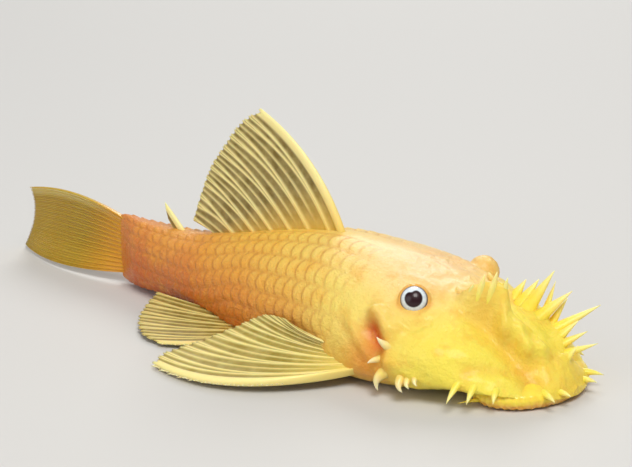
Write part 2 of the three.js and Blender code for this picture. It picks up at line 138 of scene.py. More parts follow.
floor_bm = bmesh.new()
bmesh.ops.create_circle(floor_bm, cap_ends=True, radius=FLOOR_RADIUS, segments=96)
floor = finish_piece(floor_bm, "floor", smooth=False)
floor_material, floor_shader, _ = new_material("pale_floor")
set_inputs(floor_shader, {"Base Color": FLOOR_COLOUR, "Roughness": 0.75})
floor.data.materials.append(floor_material)

# %% Lamps, each with place, size, power and colour
LAMPS = {
    "key_lamp": ((450, -360, 990), 620, 9.6, (1.0, 0.98, 0.94)),
    "fill_lamp": ((-360, -990, 420), 900, 3.0, (0.96, 0.98, 1.0)),
    "back_lamp": ((-480, 780, 720), 560, 5.5, (1.0, 0.99, 0.96)),
}
LAMP_AIM = Vector((0, 0, 10)) * MM
WORLD_COLOUR = (0.93, 0.95, 1, 1)
WORLD_STRENGTH = 0.33

for name, (place_mm, size_mm, watts, colour) in LAMPS.items():
    lamp_data = bpy.data.lights.new(name, "AREA")
    lamp_data.shape = "DISK"
    lamp_data.size = size_mm * MM
    lamp_data.energy = watts
    lamp_data.color = colour
    lamp = bpy.data.objects.new(name, lamp_data)
    lamp.location = Vector(place_mm) * MM
    lamp.rotation_euler = (lamp.location - LAMP_AIM).to_track_quat("Z", "Y").to_euler()
    bpy.context.collection.objects.link(lamp)

world = bpy.data.worlds.new("pale_world")
world.use_nodes = True
background = world.node_tree.nodes["Background"]
set_inputs(background, {"Color": WORLD_COLOUR, "Strength": WORLD_STRENGTH})
bpy.context.scene.world = world
bpy.context.scene.view_settings.view_transform = "Standard"
print("lamps:", len(LAMPS))

# %% [markdown]
# ## Measures of the body
# The body is easiest to give in the fish's own measures: a station back from the snout, a
# distance to the side, to the fish's left, and a height over the floor. Rows of a few values
# against the stations say how wide, high and round it is, and the tail bends to the left
# behind the middle, as in the pose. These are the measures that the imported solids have.

# %% Measures of the body
STANDARD_LENGTH = 98.5
ORIGIN_STATION = 43
BEND_START = 49
BEND_PER_MM = 0.0029
STATIONS = [0, 1.5, 4, 7, 13, 21, 29, 35, 43, 51, 59, 69, 81, 92, 99]
HALF_WIDTH = [14.4, 14.5, 14.8, 15.1, 15.7, 16.4, 16.8, 16.2, 14.6, 12.8, 10.8, 8.2, 5.2, 3.4, 2]
TOP = [2.4, 4.5, 6.5, 8.7, 12.5, 15.9, 17.8, 18.8, 19.4, 18.7, 17.2, 15, 13.2, 13, 13.6]
BOTTOM = [0.9, 1.2, 1.8, 2.2, 1.9, 0.3, -0.6, -0.8, -0.8, -0.8, -0.5, 0.6, 1, 0.5, 0.3]
WIDEST = [1.2, 1.6, 2.1, 2.8, 4.2, 5.5, 6, 6, 6, 6, 6.2, 6.6, 6.8, 6.8, 7]
ROUND_TOP = [1.35, 1.35, 1.35, 1.4, 1.6, 1.9, 2.05, 2, 1.9, 1.9, 1.9, 2, 2.2, 2.3, 2.4]
ROUND_BOTTOM = [2.4, 2.6, 2.8, 3, 3.2, 3.4, 3.4, 3.4, 3.4, 3.2, 3, 2.6, 2.4, 2.4, 2.4]
SNOUT_LENGTH = 18
SNOUT_ROUND = 2.1
RING_STEP = 0.02


# %% From the fish's measures to the scene
def lerp(a, b, share):
    return a + (b - a) * share


def clamp(value, low=0.0, high=1.0):
    return min(max(value, low), high)


def smoothstep(value, low, high):
    t = clamp((value - low) / (high - low))
    return t * t * (3 - 2 * t)


def hill(distance, reach):
    """1 at no distance, falling smoothly to nothing about twice the reach away."""
    return exp(-((distance / reach) ** 2))


def along(row, station):
    """A smooth curve through a row of values that never overshoots them."""
    s = clamp(station, STATIONS[0], STATIONS[-1])
    last = len(STATIONS) - 1
    i = next(k for k in range(last) if s <= STATIONS[k + 1])

    def rise(k):
        return (row[k + 1] - row[k]) / (STATIONS[k + 1] - STATIONS[k])

    def slope(k):
        if k in (0, last) or rise(k - 1) * rise(k) <= 0:
            return 0
        return 2 * rise(k - 1) * rise(k) / (rise(k - 1) + rise(k))

    step = STATIONS[i + 1] - STATIONS[i]
    t = (s - STATIONS[i]) / step
    eased = t * t * (3 - 2 * t)
    sway = step * t * (1 - t) * ((1 - t) * slope(i) - t * slope(i + 1))
    return lerp(row[i], row[i + 1], eased) + sway


def half_width(station):
    front = clamp(station / SNOUT_LENGTH)
    return along(HALF_WIDTH, station) * max(1 - (1 - front) ** SNOUT_ROUND, 0) ** (1 / SNOUT_ROUND)


def place(station, side, height):
    """A point of the scene, in metres, from the fish's own measures."""
    turn = max(station - BEND_START, 0) * BEND_PER_MM
    x = ORIGIN_STATION - min(station, BEND_START) - sin(turn) / BEND_PER_MM
    y = (1 - cos(turn)) / BEND_PER_MM
    return Vector((x + side * sin(turn), y + side * cos(turn), height)) * MM


def back_height(station, side):
    share = clamp(abs(side) / max(half_width(station), 0.01))
    round_power = along(ROUND_TOP, station)
    rise = along(TOP, station) - along(WIDEST, station)
    return along(WIDEST, station) + rise * (1 - share ** round_power) ** (1 / round_power)


def ring_point(rows, angle):
    """Side and height on the outline across the body, from the back, 0, to the belly, pi."""
    width, top, bottom, widest, round_top, round_bottom = rows
    upper = angle < pi / 2
    power = 2 / (round_top if upper else round_bottom)
    reach = top - widest if upper else widest - bottom
    side = width * abs(sin(angle)) ** power
    return side, widest + copysign(reach * abs(cos(angle)) ** power, cos(angle))


def ring_outward(rows, angle):
    """The direction straight out of the body there, as side and height."""
    before, after = ring_point(rows, angle - RING_STEP), ring_point(rows, angle + RING_STEP)
    return Vector((before[1] - after[1], after[0] - before[0])).normalized()


def rows_at(station):
    rows = (TOP, BOTTOM, WIDEST, ROUND_TOP, ROUND_BOTTOM)
    return (half_width(station), *(along(row, station) for row in rows))


print("widest:", max(half_width(s) for s in range(99)) * 2, "mm")

# %% [markdown]
# ## Relief of the skin
# Over its rounded shape the skin has relief: bony plates that overlap like roof tiles, folds
# on the cheek and where the gill opens, and a nostril in front of each eye. Sculpting would
# do it by hand. Formulas are used instead, because the plates repeat, and the same formulas
# can write how strong each feature is into attributes that the material reads, so that the
# colour follows the relief exactly. Every other series of plates is shifted by half a plate.

# %% Plates
PLATES_START = 30
PLATE_ROWS = 30
BARE_END = 1.3
PLATE_LENGTH = (STANDARD_LENGTH - BARE_END - PLATES_START) / PLATE_ROWS
PLATE_SERIES = 7
PLATE_RISE = 0.34
PLATE_POINT = 0.8
PLATE_STEP = 0.3
PLATE_ARCHING = 0.7
PLATES_BACK = radians(8)
PLATES_LOW = (115, 165)
PLATES_LOW_STATIONS = (58, 76)
PLATES_FADE = 16
SEAM_WIDTH = 0.1
SEAM_STRENGTH = 0.6
MARGIN_PLACE = 0.6
MARGIN_WIDTH = 0.45
ROW_SPARE = 0.2


def plate_limit(station):
    """How far round from the back the plates reach, lower on the tail than on the body."""
    return radians(lerp(*PLATES_LOW, smoothstep(station, *PLATES_LOW_STATIONS)))


def plate_relief(station, angle):
    """Height of the plates there, and how near a margin is, from 0 to 1."""
    share = (angle - PLATES_BACK) / (plate_limit(station) - PLATES_BACK)
    if share <= 0 or share >= 1 or station < PLATES_START - 2:
        return 0, 0
    across = share * PLATE_SERIES % 1
    arch = sin(pi * across)
    row = (station - PLATES_START - PLATE_POINT * arch) / PLATE_LENGTH
    row += 0.5 * (int(share * PLATE_SERIES) % 2)
    if row < -ROW_SPARE or row > PLATE_ROWS + ROW_SPARE:
        return 0, 0
    behind = row % 1 * PLATE_LENGTH
    fall = smoothstep(behind, 0, PLATE_STEP)
    climb = behind / PLATE_LENGTH
    height = PLATE_RISE * arch ** PLATE_ARCHING * (climb * fall + (1 - fall))
    seam = hill(min(across, 1 - across), SEAM_WIDTH) * SEAM_STRENGTH
    rear = hill(behind - PLATE_STEP * MARGIN_PLACE, MARGIN_WIDTH)
    fade = smoothstep(station, PLATES_START - 1, PLATES_START + PLATES_FADE)
    return height * fade, clamp(max(seam, rear)) * fade


# %% Eyes and nostrils
EYE_STATION = 23.6
EYE_ANGLE = radians(38)
EYE_RADIUS = 2.35
EYE_SUNK = 0.3
NOSTRIL_STATION = 18.2
NOSTRIL_SIDE = 4.6
NOSTRIL_RADIUS = 0.75
NOSTRIL_DEPTH = 0.9
NOSTRIL_LIP_PLACE = 1.7
NOSTRIL_LIP_WIDTH = 0.4
NOSTRIL_LIP_HEIGHT = 0.25

# %% [markdown]
# ## Folds of the head
# Each fold is a short line over the head's side, given by a few points as station, side and
# height, with how far it reaches and how high it stands. A furrow has a height below zero.
# The left side has the same folds, mirrored. The shade of a fold says how much painted shade, a
# dark orange, lies in it.

# %% Folds, each as points, reach and height of the relief
FOLDS = {
    "gill_pit": ([(27.6, 15.6, 10.2), (26.8, 15.9, 9.2), (26.0, 16.2, 8.2)], 1.7, -1.3),
    "gill_cover": (
        [(33.9, 15.4, 10.4), (31.7, 16.3, 8.4), (29.6, 16.7, 6.2), (27.6, 16.7, 4.6)], 0.9, -0.2,
    ),
    "cover_edge": ([(31.9, 15.4, 10.6), (29.8, 16.3, 8.4), (28.2, 16.7, 6.2)], 1.2, 0.25),
    "cheek_edge": (
        [(27.6, 14.3, 12.2), (25.8, 15.4, 10.4), (24.4, 16.2, 8.2), (23.8, 16.4, 6)], 1.3, 0.8,
    ),
    "under_eye": (
        [(25.8, 13.1, 12.7), (24, 14.0, 11.4), (21.6, 13.8, 10.9), (19.4, 12.2, 11.6)], 0.65, -0.5,
    ),
    "behind_eye": ([(30, 13.6, 13.0), (27.9, 13.0, 13.4), (26.4, 13.0, 13.2)], 0.5, -0.4),
    "ridge_valley": (
        [(14.4, 5.6, 12), (11.2, 5.9, 10.2), (8.8, 6.5, 8.4), (6.4, 7, 6.4), (4.4, 7.2, 4.8)],
        2.3, -1.5,
    ),
    "lip_crease": ([(11.8, 13.4, 6), (9.6, 11.4, 6.4), (7.2, 9.2, 6)], 1.1, -0.4),
    "cheek_swell": ([(19, 14.6, 7.4), (14, 13, 7.4)], 3.0, 0.55),
    "hook_base": ([(23.4, 15, 5.4), (20.4, 14.4, 4.2)], 1.9, 1.0),
    "cheek_knob": ([(27.4, 14.4, 12.4), (25.6, 14.8, 11.8), (24.2, 15.2, 10.6)], 1.5, 1.1),
    "brow": ([(26.4, 6.6, 16.6), (23.6, 6.2, 15.8), (20.8, 6.4, 14.6)], 1.3, 0.3),
}
# painted shade, a dark orange, in the furrows and the gill pit
FOLD_SHADE = {"gill_pit": 1, "gill_cover": 0.1, "ridge_valley": 0.3, "lip_crease": 0.2}
HEAD_REACH = 38


def line_gap(point, points):
    """The distance from a point to a line through several points."""
    best = 1e9
    for a, b in zip(points, points[1:]):
        a, b = Vector(a), Vector(b)
        share = clamp((point - a).dot(b - a) / (b - a).length_squared)
        best = min(best, (point - a.lerp(b, share)).length)
    return best


def head_relief(station, side, height):
    """Height of the head's forms there, how much painted shade a nostril gets, and how much the
    folds get.
    """
    if station > HEAD_REACH:
        return 0, 0, 0
    point = Vector((station, abs(side), height))
    relief, crease_shade = 0, 0
    for name, (points, reach, rise) in FOLDS.items():
        share = hill(line_gap(point, points), reach)
        relief += rise * share
        # painted shade of the folds, strongest in the gill pit
        crease_shade = max(crease_shade, share * FOLD_SHADE.get(name, 0))
    nostril_gap = hypot(station - NOSTRIL_STATION, abs(side) - NOSTRIL_SIDE)
    # the nostril's pit, also used for its painted shade
    pit = hill(nostril_gap, NOSTRIL_RADIUS)
    lip = hill(nostril_gap - NOSTRIL_RADIUS * NOSTRIL_LIP_PLACE, NOSTRIL_LIP_WIDTH)
    return relief - NOSTRIL_DEPTH * pit + NOSTRIL_LIP_HEIGHT * lip, pit, crease_shade


# %% Centres of the eyes
def eye_centre(hand):
    rows = rows_at(EYE_STATION)
    out = ring_outward(rows, EYE_ANGLE)
    side, height = ring_point(rows, EYE_ANGLE)
    return place(EYE_STATION, hand * (side - EYE_SUNK * out.x), height - EYE_SUNK * out.y)


def skin_point(station, angle, hand):
    side, height = ring_point(rows_at(station), angle)
    return place(station, hand * side, height)


def eye_normal(hand):
    """The direction straight out of the head at an eye."""
    front, rear = (skin_point(EYE_STATION + step, EYE_ANGLE, hand) for step in (-1, 1))
    low, high = (skin_point(EYE_STATION, EYE_ANGLE + turn, hand) for turn in (0.1, -0.1))
    return (hand * (front - rear).cross(low - high)).normalized()


eye_centres = {hand: eye_centre(hand) for hand in (-1, 1)}
eye_normals = {hand: eye_normal(hand) for hand in (-1, 1)}
print("eyes face", [tuple(round(x, 2) for x in eye_normals[hand]) for hand in (-1, 1)])

# %% [markdown]
# ## Lids
# The skin wraps the eyeball on all sides but the one it looks to. Each point of the skin near
# the eye is spread over a dome a little wider than the ball, or sunk under the ball inside the
# opening, and the edge between the two is the lid.

# %% Lids
GAZES = {-1: Vector((0.44, -0.78, 0.45)), 1: Vector((0.12, 0.98, 0.1))}
LID_OPENINGS = {-1: radians(68), 1: radians(50)}
LID_RADIUS = 2.62
LID_REACH = 0.8
LID_FOOT = radians(84)
LID_BOUND = 6
LID_EDGE = 0.1
LID_BLEND = (2.35, 2.85)
UNDER_BALL = 0.5
RIM_WIDTH = 0.3
RIM_FADE = (2.6, 3.4)


def lid_point(here, hand):
    """The skin's point there, wrapped round the eyeball, and how near to the lid's edge it is."""
    away = (here - eye_centres[hand]) / MM
    normal = eye_normals[hand]
    flat = away - normal * away.dot(normal)
    if away.length > LID_BOUND or flat.length > LID_RADIUS + LID_REACH:
        return here, 0
    polar = LID_FOOT * min(flat.length / LID_RADIUS, 1)
    direction = normal * cos(polar) + flat.normalized() * sin(polar)
    opening = LID_OPENINGS[hand]
    off = GAZES[hand].angle(direction)
    closed = smoothstep(off, opening - LID_EDGE, opening + LID_EDGE)
    radius = lerp(EYE_RADIUS - UNDER_BALL, LID_RADIUS, closed)
    dome = eye_centres[hand] + direction * radius * MM
    # how near the lid's edge is, which the skin's colour uses for painted shade
    rim = hill(off - opening, RIM_WIDTH) * (1 - smoothstep(flat.length, *RIM_FADE))
    return here.lerp(dome, 1 - smoothstep(flat.length, *LID_BLEND)), rim


# %% [markdown]
# ## The skin
# Head, body and tail are one soft skin with no seam. It starts as a flat grid. One side of
# the grid runs along the fish and the other runs round it, and each point of the grid is
# placed by its share along both, so that the grid wraps into a tube. It closes to a line at
# the tail, and at the tip of the snout it leaves a slit about 0.2 mm wide. The edges that
# meet are merged, and the count of open edges is printed. The grid is finest at the plates.

# %% Where the grid's lines lie
SNOUT_STEPS = 60
HEAD_STEPS = 70
STEPS_PER_PLATE = 8
END_STEPS = 8
SIDE_STEPS = 94
BELLY_STEPS = 16
BELLY_FROM = radians(130)
TAIL_THINNING = 0.5
END_ROUNDING = 0.12
END_LENGTH = 4.5
THINNED_LENGTH = 9
SNOUT_CROWDING = 1.8

plates_end = PLATES_START + PLATE_ROWS * PLATE_LENGTH
skin_stations = [SNOUT_LENGTH * (i / SNOUT_STEPS) ** SNOUT_CROWDING for i in range(SNOUT_STEPS)]
skin_stations += [lerp(SNOUT_LENGTH, PLATES_START, i / HEAD_STEPS) for i in range(HEAD_STEPS)]
plate_steps = PLATE_ROWS * STEPS_PER_PLATE
skin_stations += [lerp(PLATES_START, plates_end, i / plate_steps) for i in range(plate_steps)]
skin_stations += [lerp(plates_end, STANDARD_LENGTH, i / END_STEPS) for i in range(END_STEPS + 1)]
skin_angles = [BELLY_FROM * i / SIDE_STEPS for i in range(SIDE_STEPS)]
skin_angles += [lerp(BELLY_FROM, pi, i / BELLY_STEPS) for i in range(BELLY_STEPS + 1)]
around_steps = 2 * (len(skin_angles) - 1)
print("skin grid:", len(skin_stations), "by", around_steps)

# %% [markdown]
# ## Ridge of the snout
# The bristles of the snout stand on a fleshy ridge shaped like a Y. Its stem comes up from
# the lip and its arms run back towards the eyes. Each bristle is given by where it stands and
# how far its tip reaches ahead, outwards and up. They grow unevenly, as in life, so the two
# sides have a row each.

# %% Bristles of the snout, left and right
LEFT_BRISTLES = [
    (15.6, 6.4, 1.2, 1.6, 2.2, 1.15),
    (13.9, 5.8, 1.7, 2.4, 3.3, 1.25),
    (12.2, 5.2, 2.4, 3.6, 5.8, 1.35),
    (10.6, 7, 0.3, 3.2, 5.4, 0.75),
    (10.2, 4.4, 3.8, 4.2, 4.2, 1.45),
    (9, 6.2, 1.4, 3.2, 4.2, 0.9),
    (8, 4.9, 5.4, 6.1, 3.8, 1.3),
    (6.7, 4, 2.5, 3, 2.6, 1.1),
    (5.8, 3.2, 3.4, 3.6, 1.7, 1.05),
    (4.6, 2.5, 4.5, 3.5, 1.1, 1),
    (3.3, 1.2, 1.4, 1.8, 1.9, 0.85),
]
RIGHT_BRISTLES = [
    (17.2, 5.4, 1.8, 0.6, 3.6, 1.2),
    (15.6, 4.6, 1.5, 0.4, 5.6, 1.45),
    (14.2, 3.7, 1.7, 0.3, 6.6, 1.55),
    (12.8, 2.8, 1.6, 0.2, 6.2, 1.45),
    (11.4, 4.4, 2, 2.2, 2.4, 1.5),
    (9.7, 2.8, 2.2, 1.8, 2.2, 1.75),
    (7.6, 3.6, 2.6, 2.6, 1.6, 1.5),
    (5.9, 2, 2.4, 1.8, 1.6, 1.55),
    (4.3, 2.8, 2.4, 1.6, 1, 1.2),
    (3, 1.2, 1.8, 1.4, 1, 1),
]
DRAWN_UP = {-1: 0.85, 1: 0.35}
ROOT_REACH = {-1: 1.5, 1: 1.3}
DRAWN_RISES = (0.7, 2)
PULL = 2


def root_pull(station, side):
    """How far the skin is drawn up the bristles' roots, as station, side and height."""
    bristles = LEFT_BRISTLES if side > 0 else RIGHT_BRISTLES
    hand = 1 if side > 0 else -1
    total, pull = 1, Vector((0, 0, 0))
    for at, across, ahead, outward, rise, radius in bristles:
        share = hill(hypot(station - at, abs(side) - across) / radius, ROOT_REACH[hand])
        total += share ** 2
        tall = smoothstep(rise, *DRAWN_RISES)
        pull += PULL * share ** 3 * tall * DRAWN_UP[hand] * Vector((-ahead, hand * outward, rise))
    return pull / total


# %% [markdown]
# ## Colour of the skin
# The living colour changes slowly over the body: lemon yellow on the snout, peach over the
# nape, warm yellow on the back and a strong orange low on the flanks. A few patches, each
# with a place, a reach and a colour, are blended into a colour for every point, which is
# kept in the mesh as an attribute. A patch off the middle has its mirror image on the other
# side. The amber patch low on the snout's front is painted shade under its edge, and dark
# orange painted shade lies in the furrows, the gill pit, the nostrils and round the lids.
# Noise in the material breaks the colours up afterwards.

# %% Colour patches, each with station, side, height, reach, strength and colour
BASE_COLOUR = (0.94, 0.62, 0.085)
BASE_WEIGHT = 0.35
# painted shade round the lids' edges
LID_SHADE_COLOUR = (0.84, 0.36, 0.04)
LID_SHADE_TINT = 0.75
# painted shade, a dark orange, in the furrows and the gill pit
FOLD_SHADE_COLOUR = (0.70, 0.10, 0.004)
FOLD_SHADE_TINT = 0.95
# painted shade in the nostrils
NOSTRIL_SHADE_COLOUR = (0.25, 0.06, 0.02)
NOSTRIL_SHADE_TINT = 0.7
PATCH_ROWS = [
    (3, 0, 5, 15, 2.4, (0.99, 0.86, 0.09)),
    (13, 14, 4, 9, 1.6, (0.99, 0.82, 0.09)),
    (27, 0, 19, 10, 2.6, (0.94, 0.58, 0.29)),
    (37, 0, 19, 9, 1.6, (0.94, 0.72, 0.31)),
    (48, 0, 19, 9, 1.3, (0.95, 0.64, 0.12)),
    (62, 0, 16, 9, 1.3, (0.95, 0.62, 0.10)),
    (80, 0, 14, 10, 1.5, (0.90, 0.60, 0.20)),
    (96, 0, 14, 8, 1.5, (0.90, 0.70, 0.28)),
    (50, 13, 1.5, 10, 6, (0.76, 0.17, 0.006)),
    (62, 10, 2, 10, 7, (0.72, 0.14, 0.005)),
    (74, 7, 2.5, 10, 7, (0.68, 0.11, 0.004)),
    (88, 4, 3, 10, 7, (0.62, 0.09, 0.004)),
    (28, 17, 5, 3.2, 2.6, (0.80, 0.22, 0.012)),
    # amber low on the snout's front: painted shade under its rounded edge
    (4, 0, 0, 6, 4, (0.90, 0.50, 0.05)),
    (98, 2, 9, 5.5, 6, (0.74, 0.18, 0.006)),
    (38, 14, 12, 9, 2.4, (0.98, 0.80, 0.16)),
    (52, 11, 12, 7.5, 2.2, (0.98, 0.78, 0.15)),
    (66, 8, 12, 7.5, 2.2, (0.97, 0.72, 0.12)),
    (82, 5, 11, 7, 2.0, (0.95, 0.64, 0.12)),
    (36, 0, -2, 12, 1.8, (0.88, 0.58, 0.26)),
    (52, 0, -2, 8, 1.8, (0.88, 0.52, 0.20)),
]
PATCHES = [
    (at, hand * across, *others)
    for at, across, *others in PATCH_ROWS for hand in ((-1, 1) if across else (1,))
]


def skin_colour(station, side, height, fold, pit):
    total, mixed = BASE_WEIGHT, Vector(BASE_COLOUR) * BASE_WEIGHT
    for at, across, up, reach, strength, colour in PATCHES:
        gap = sqrt((station - at) ** 2 + (side - across) ** 2 + (height - up) ** 2)
        weight = strength * hill(gap, reach)
        total += weight
        mixed += Vector(colour) * weight
    # painted shade, a dark orange, in the furrows and the gill pit
    mixed = (mixed / total).lerp(Vector(FOLD_SHADE_COLOUR), FOLD_SHADE_TINT * fold)
    # painted shade in the nostril
    return mixed.lerp(Vector(NOSTRIL_SHADE_COLOUR), NOSTRIL_SHADE_TINT * pit)


# %% Making the skin
LUMPS = ((0.32, 0.24), (0.9, 0.11))
LUMPS_FADE = (28, 33)
BELLY_FADE = (0.4, 2.5)
RIDGE_ANGLE = 1.5
RIDGE_END = 24
PLATED_FROM = 0.02

skin_bm = bmesh.new()
bmesh.ops.create_grid(
    skin_bm, x_segments=around_steps, y_segments=len(skin_stations) - 1, size=0.5
)
colour_layer = skin_bm.verts.layers.float_color.new("skin_tint")
margin_layer = new_layer(skin_bm, "plate_margin")
plated_layer = new_layer(skin_bm, "plated")

for vertex in skin_bm.verts:
    step = round((vertex.co.x + 0.5) * around_steps)
    station = skin_stations[round((vertex.co.y + 0.5) * (len(skin_stations) - 1))]
    hand = 1 if step <= around_steps // 2 else -1
    angle = skin_angles[min(step, around_steps - step)]
    plates, margin = plate_relief(station, angle)
    rows = rows_at(station)
    side, height = ring_point(rows, angle)
    out = ring_outward(rows, angle)
    here = place(station, hand * side, height)
    # pit and fold also give how much painted shade the nostril and the furrows get
    on_head, pit, fold = head_relief(station, side, height)
    head_share = 1 - smoothstep(station, *LUMPS_FADE)
    lumps = sum(noise.noise(here / MM * scale) * size for scale, size in LUMPS)
    above_belly = smoothstep(height, *BELLY_FADE)
    on_ridge = angle < RIDGE_ANGLE and station < RIDGE_END
    pull = root_pull(station, hand * side) if on_ridge else Vector((0, 0, 0))
    relief = plates + (on_head + lumps * head_share) * above_belly
    end = clamp(1 - (STANDARD_LENGTH - station) / END_LENGTH)
    near_end = smoothstep(station, STANDARD_LENGTH - THINNED_LENGTH, STANDARD_LENGTH)
    thinned = 1 - TAIL_THINNING * near_end
    side = (side + relief * out.x) * thinned * sqrt(1 - end ** 2)
    middle = (rows[1] + rows[2]) / 2 if end > 0 else height
    height = max(middle + (height + relief * out.y - middle) * (1 - END_ROUNDING * end ** 2), 0)
    drawn = place(station + pull.x, hand * side + pull.y, height + pull.z)
    vertex.co, rim = lid_point(drawn, hand)
    vertex[margin_layer] = margin
    vertex[plated_layer] = 1 if plates > PLATED_FROM else 0
    tint = skin_colour(station, hand * side, height, fold, pit)
    # the lid's edge gets painted shade, a dark orange
    vertex[colour_layer] = (*tint.lerp(Vector(LID_SHADE_COLOUR), LID_SHADE_TINT * rim), 1)

bmesh.ops.remove_doubles(skin_bm, verts=skin_bm.verts, dist=0.002 * MM)
open_edges = sum(1 for edge in skin_bm.edges if edge.is_boundary)
skin = finish_piece(skin_bm, "skin")
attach(skin, "root")
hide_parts("head", "torso", "tail")
print("skin:", len(skin.data.polygons), "faces, open edges:", open_edges)

# %% [markdown]
# ## Bristles and spines
# The snout's bristles are soft, with a wide flat root and a thin pale tip. The short ones of
# the right side are lobes of the skin alone. The cheek carries short hard hooks. Bristles
# and hooks are tapered tubes on a bent line, so one function makes them: it
# starts from a circle and extrudes it again and again, and each new ring is moved, turned and
# shrunk to its place on the line. A curve object with a bevel would taper too, but its tip
# and flat root are harder to control.

# %% A tapered tube on a bent line
TAPER = [1.0, 0.93, 0.84, 0.74, 0.63, 0.5, 0.37, 0.24, 0.13, 0.04]
FLESHY_TAPER = [1.3, 1.26, 1.17, 1.06, 0.96, 0.87, 0.78, 0.68, 0.57, 0.45, 0.32, 0.18, 0.05]


def bowed(root, bow, tip, out):
    """A point on a curve that leaves a root, bows by a given amount and ends at a tip."""
    middle = [(a + b) / 2 + c for a, b, c in zip(root, tip, bow)]
    near, mid, far = (1 - out) ** 2, 2 * out * (1 - out), out ** 2
    return [near * a + mid * m + far * b for a, m, b in zip(root, middle, tip)]


def add_spine(mesh_bm, root, bow, tip, radius, sides=10, flatness=1.0, taper=TAPER):
    """Adds a tapered tube and writes how far out each ring lies into the layer toward_tip."""
    layer = mesh_bm.verts.layers.float.get("toward_tip")
    steps = len(taper) - 1
    ring = bmesh.ops.create_circle(mesh_bm, segments=sides, radius=1)["verts"]
    edges = list({edge for vertex in ring for edge in vertex.link_edges})
    bmesh.ops.contextual_create(mesh_bm, geom=edges)
    pose = Matrix.Identity(4)
    for i, share in enumerate(taper):
        before, here, after = (
            place(*bowed(root, bow, tip, step / steps))
            for step in (max(i - 0.5, 0), i, min(i + 0.5, steps))
        )
        turn = (after - before).to_track_quat("Z", "Y")
        size = radius * share * MM
        if i > 0:
            grown = bmesh.ops.extrude_edge_only(mesh_bm, edges=edges)["geom"]
            ring = [part for part in grown if isinstance(part, bmesh.types.BMVert)]
            ring_set = set(ring)
            edges = [
                part for part in grown
                if isinstance(part, bmesh.types.BMEdge) and set(part.verts) <= ring_set
            ]
        goal = Matrix.LocRotScale(here, turn, Vector((size, size * flatness, size)))
        bmesh.ops.transform(mesh_bm, matrix=goal @ pose.inverted(), verts=ring)
        for vertex in ring:
            vertex[layer] = i / steps
        pose = goal
    bmesh.ops.contextual_create(mesh_bm, geom=edges)


def new_spines():
    mesh_bm = bmesh.new()
    new_layer(mesh_bm, "toward_tip")
    return mesh_bm


# %% Bristles of the snout
BRISTLE_SUNK = 1.5
SHORTEST_ON_RIGHT = 3
BRISTLE_FLATNESS = 0.8
EDGE_RADIUS = 0.7
EDGE_BOW = (0, 0, 0.5)
EDGE_BRISTLES = [
    (0.5, 12, 1.6), (1.7, 32, 2.4), (7.3, 68, 1.8), (10.2, 80, 2.8), (12.4, 88, 3.6),
]


def edge_bristle(station, bearing, length, hand):
    """Root and tip of a thin bristle at the snout's edge, at a bearing from straight ahead."""
    ahead, out = cos(radians(bearing)), sin(radians(bearing))
    edge, height = half_width(station), along(WIDEST, station)
    root = (station + BRISTLE_SUNK * ahead, hand * (edge - BRISTLE_SUNK * out), height + 0.6)
    droop = max(height - 0.7 * length, 2)
    return root, (station - length * ahead, hand * (edge + length * out * 0.8), droop)


right_tall = [row for row in RIGHT_BRISTLES if row[4] >= SHORTEST_ON_RIGHT]
bristles_bm = new_spines()
for hand, rows in ((1, LEFT_BRISTLES), (-1, right_tall)):
    for station, side, ahead, outward, rise, radius in rows:
        height = back_height(station, side)
        root = (station + 0.3 * ahead, hand * (side - 0.2 * outward), height - BRISTLE_SUNK)
        tip = (station - ahead, hand * (side + outward), height + rise)
        bow = (0.12 * ahead, -hand * 0.12 * outward, -0.08 * rise)
        add_spine(bristles_bm, root, bow, tip, radius, 18, BRISTLE_FLATNESS, FLESHY_TAPER)
    for row in EDGE_BRISTLES:
        root, tip = edge_bristle(*row, hand)
        add_spine(
            bristles_bm, root, EDGE_BOW, tip, EDGE_RADIUS, 12, BRISTLE_FLATNESS, FLESHY_TAPER
        )
bristles = finish_piece(bristles_bm, "snout_bristles")
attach(bristles, "root")
print("bristles:", len(LEFT_BRISTLES) + len(right_tall) + 2 * len(EDGE_BRISTLES))

# %% Hooks of the cheek, each with root, bow, tip and radius
CHEEK_SPINES = [
    ((22.6, -14.2, 7.2), (0.4, -0.8, -0.6), (25.2, -17.7, 9.8), 0.95),
    ((23.2, -14.4, 6.2), (1.4, -1, 0.2), (26.6, -18.1, 5.4), 0.7),
    ((22.6, -14.4, 4.8), (2.6, -2, 0.8), (24.7, -17.9, 1.3), 1.05),
    ((21.4, -14.4, 4.2), (1, -2.2, 0.2), (20.2, -17.9, 2), 0.85),
    ((20.2, -14.6, 4.2), (0.8, -1.6, 0), (19.2, -17.6, 2.7), 0.65),
    ((19.2, -14.6, 4.6), (0.6, -1.4, 0), (18, -17.2, 3.3), 0.6),
]

hooks_bm = new_spines()
for root, bow, tip, radius in CHEEK_SPINES:
    for hand in (1, -1):
        flip = [(p[0], p[1] * hand, p[2]) for p in (root, bow, tip)]
        add_spine(hooks_bm, *flip, radius, 16, 1, FLESHY_TAPER)
hooks = finish_piece(hooks_bm, "cheek_hooks")
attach(hooks, "root")
print("cheek hooks:", 2 * len(CHEEK_SPINES))

# %% [markdown]
# ## Fins
# A fin is a thin skin held by rays that fan out from its root. A front spine leads it, and the
# softer rays behind fork on their way out. A flat sheet with drawn rays would look painted,
# so the rays are ridges in the sheet itself. The sheet starts as a grid that is folded round
# the spine: one half of its columns is the fin's one face and the other half is the other.
# Lines for the root, the bow and the tip give the fan its shape.

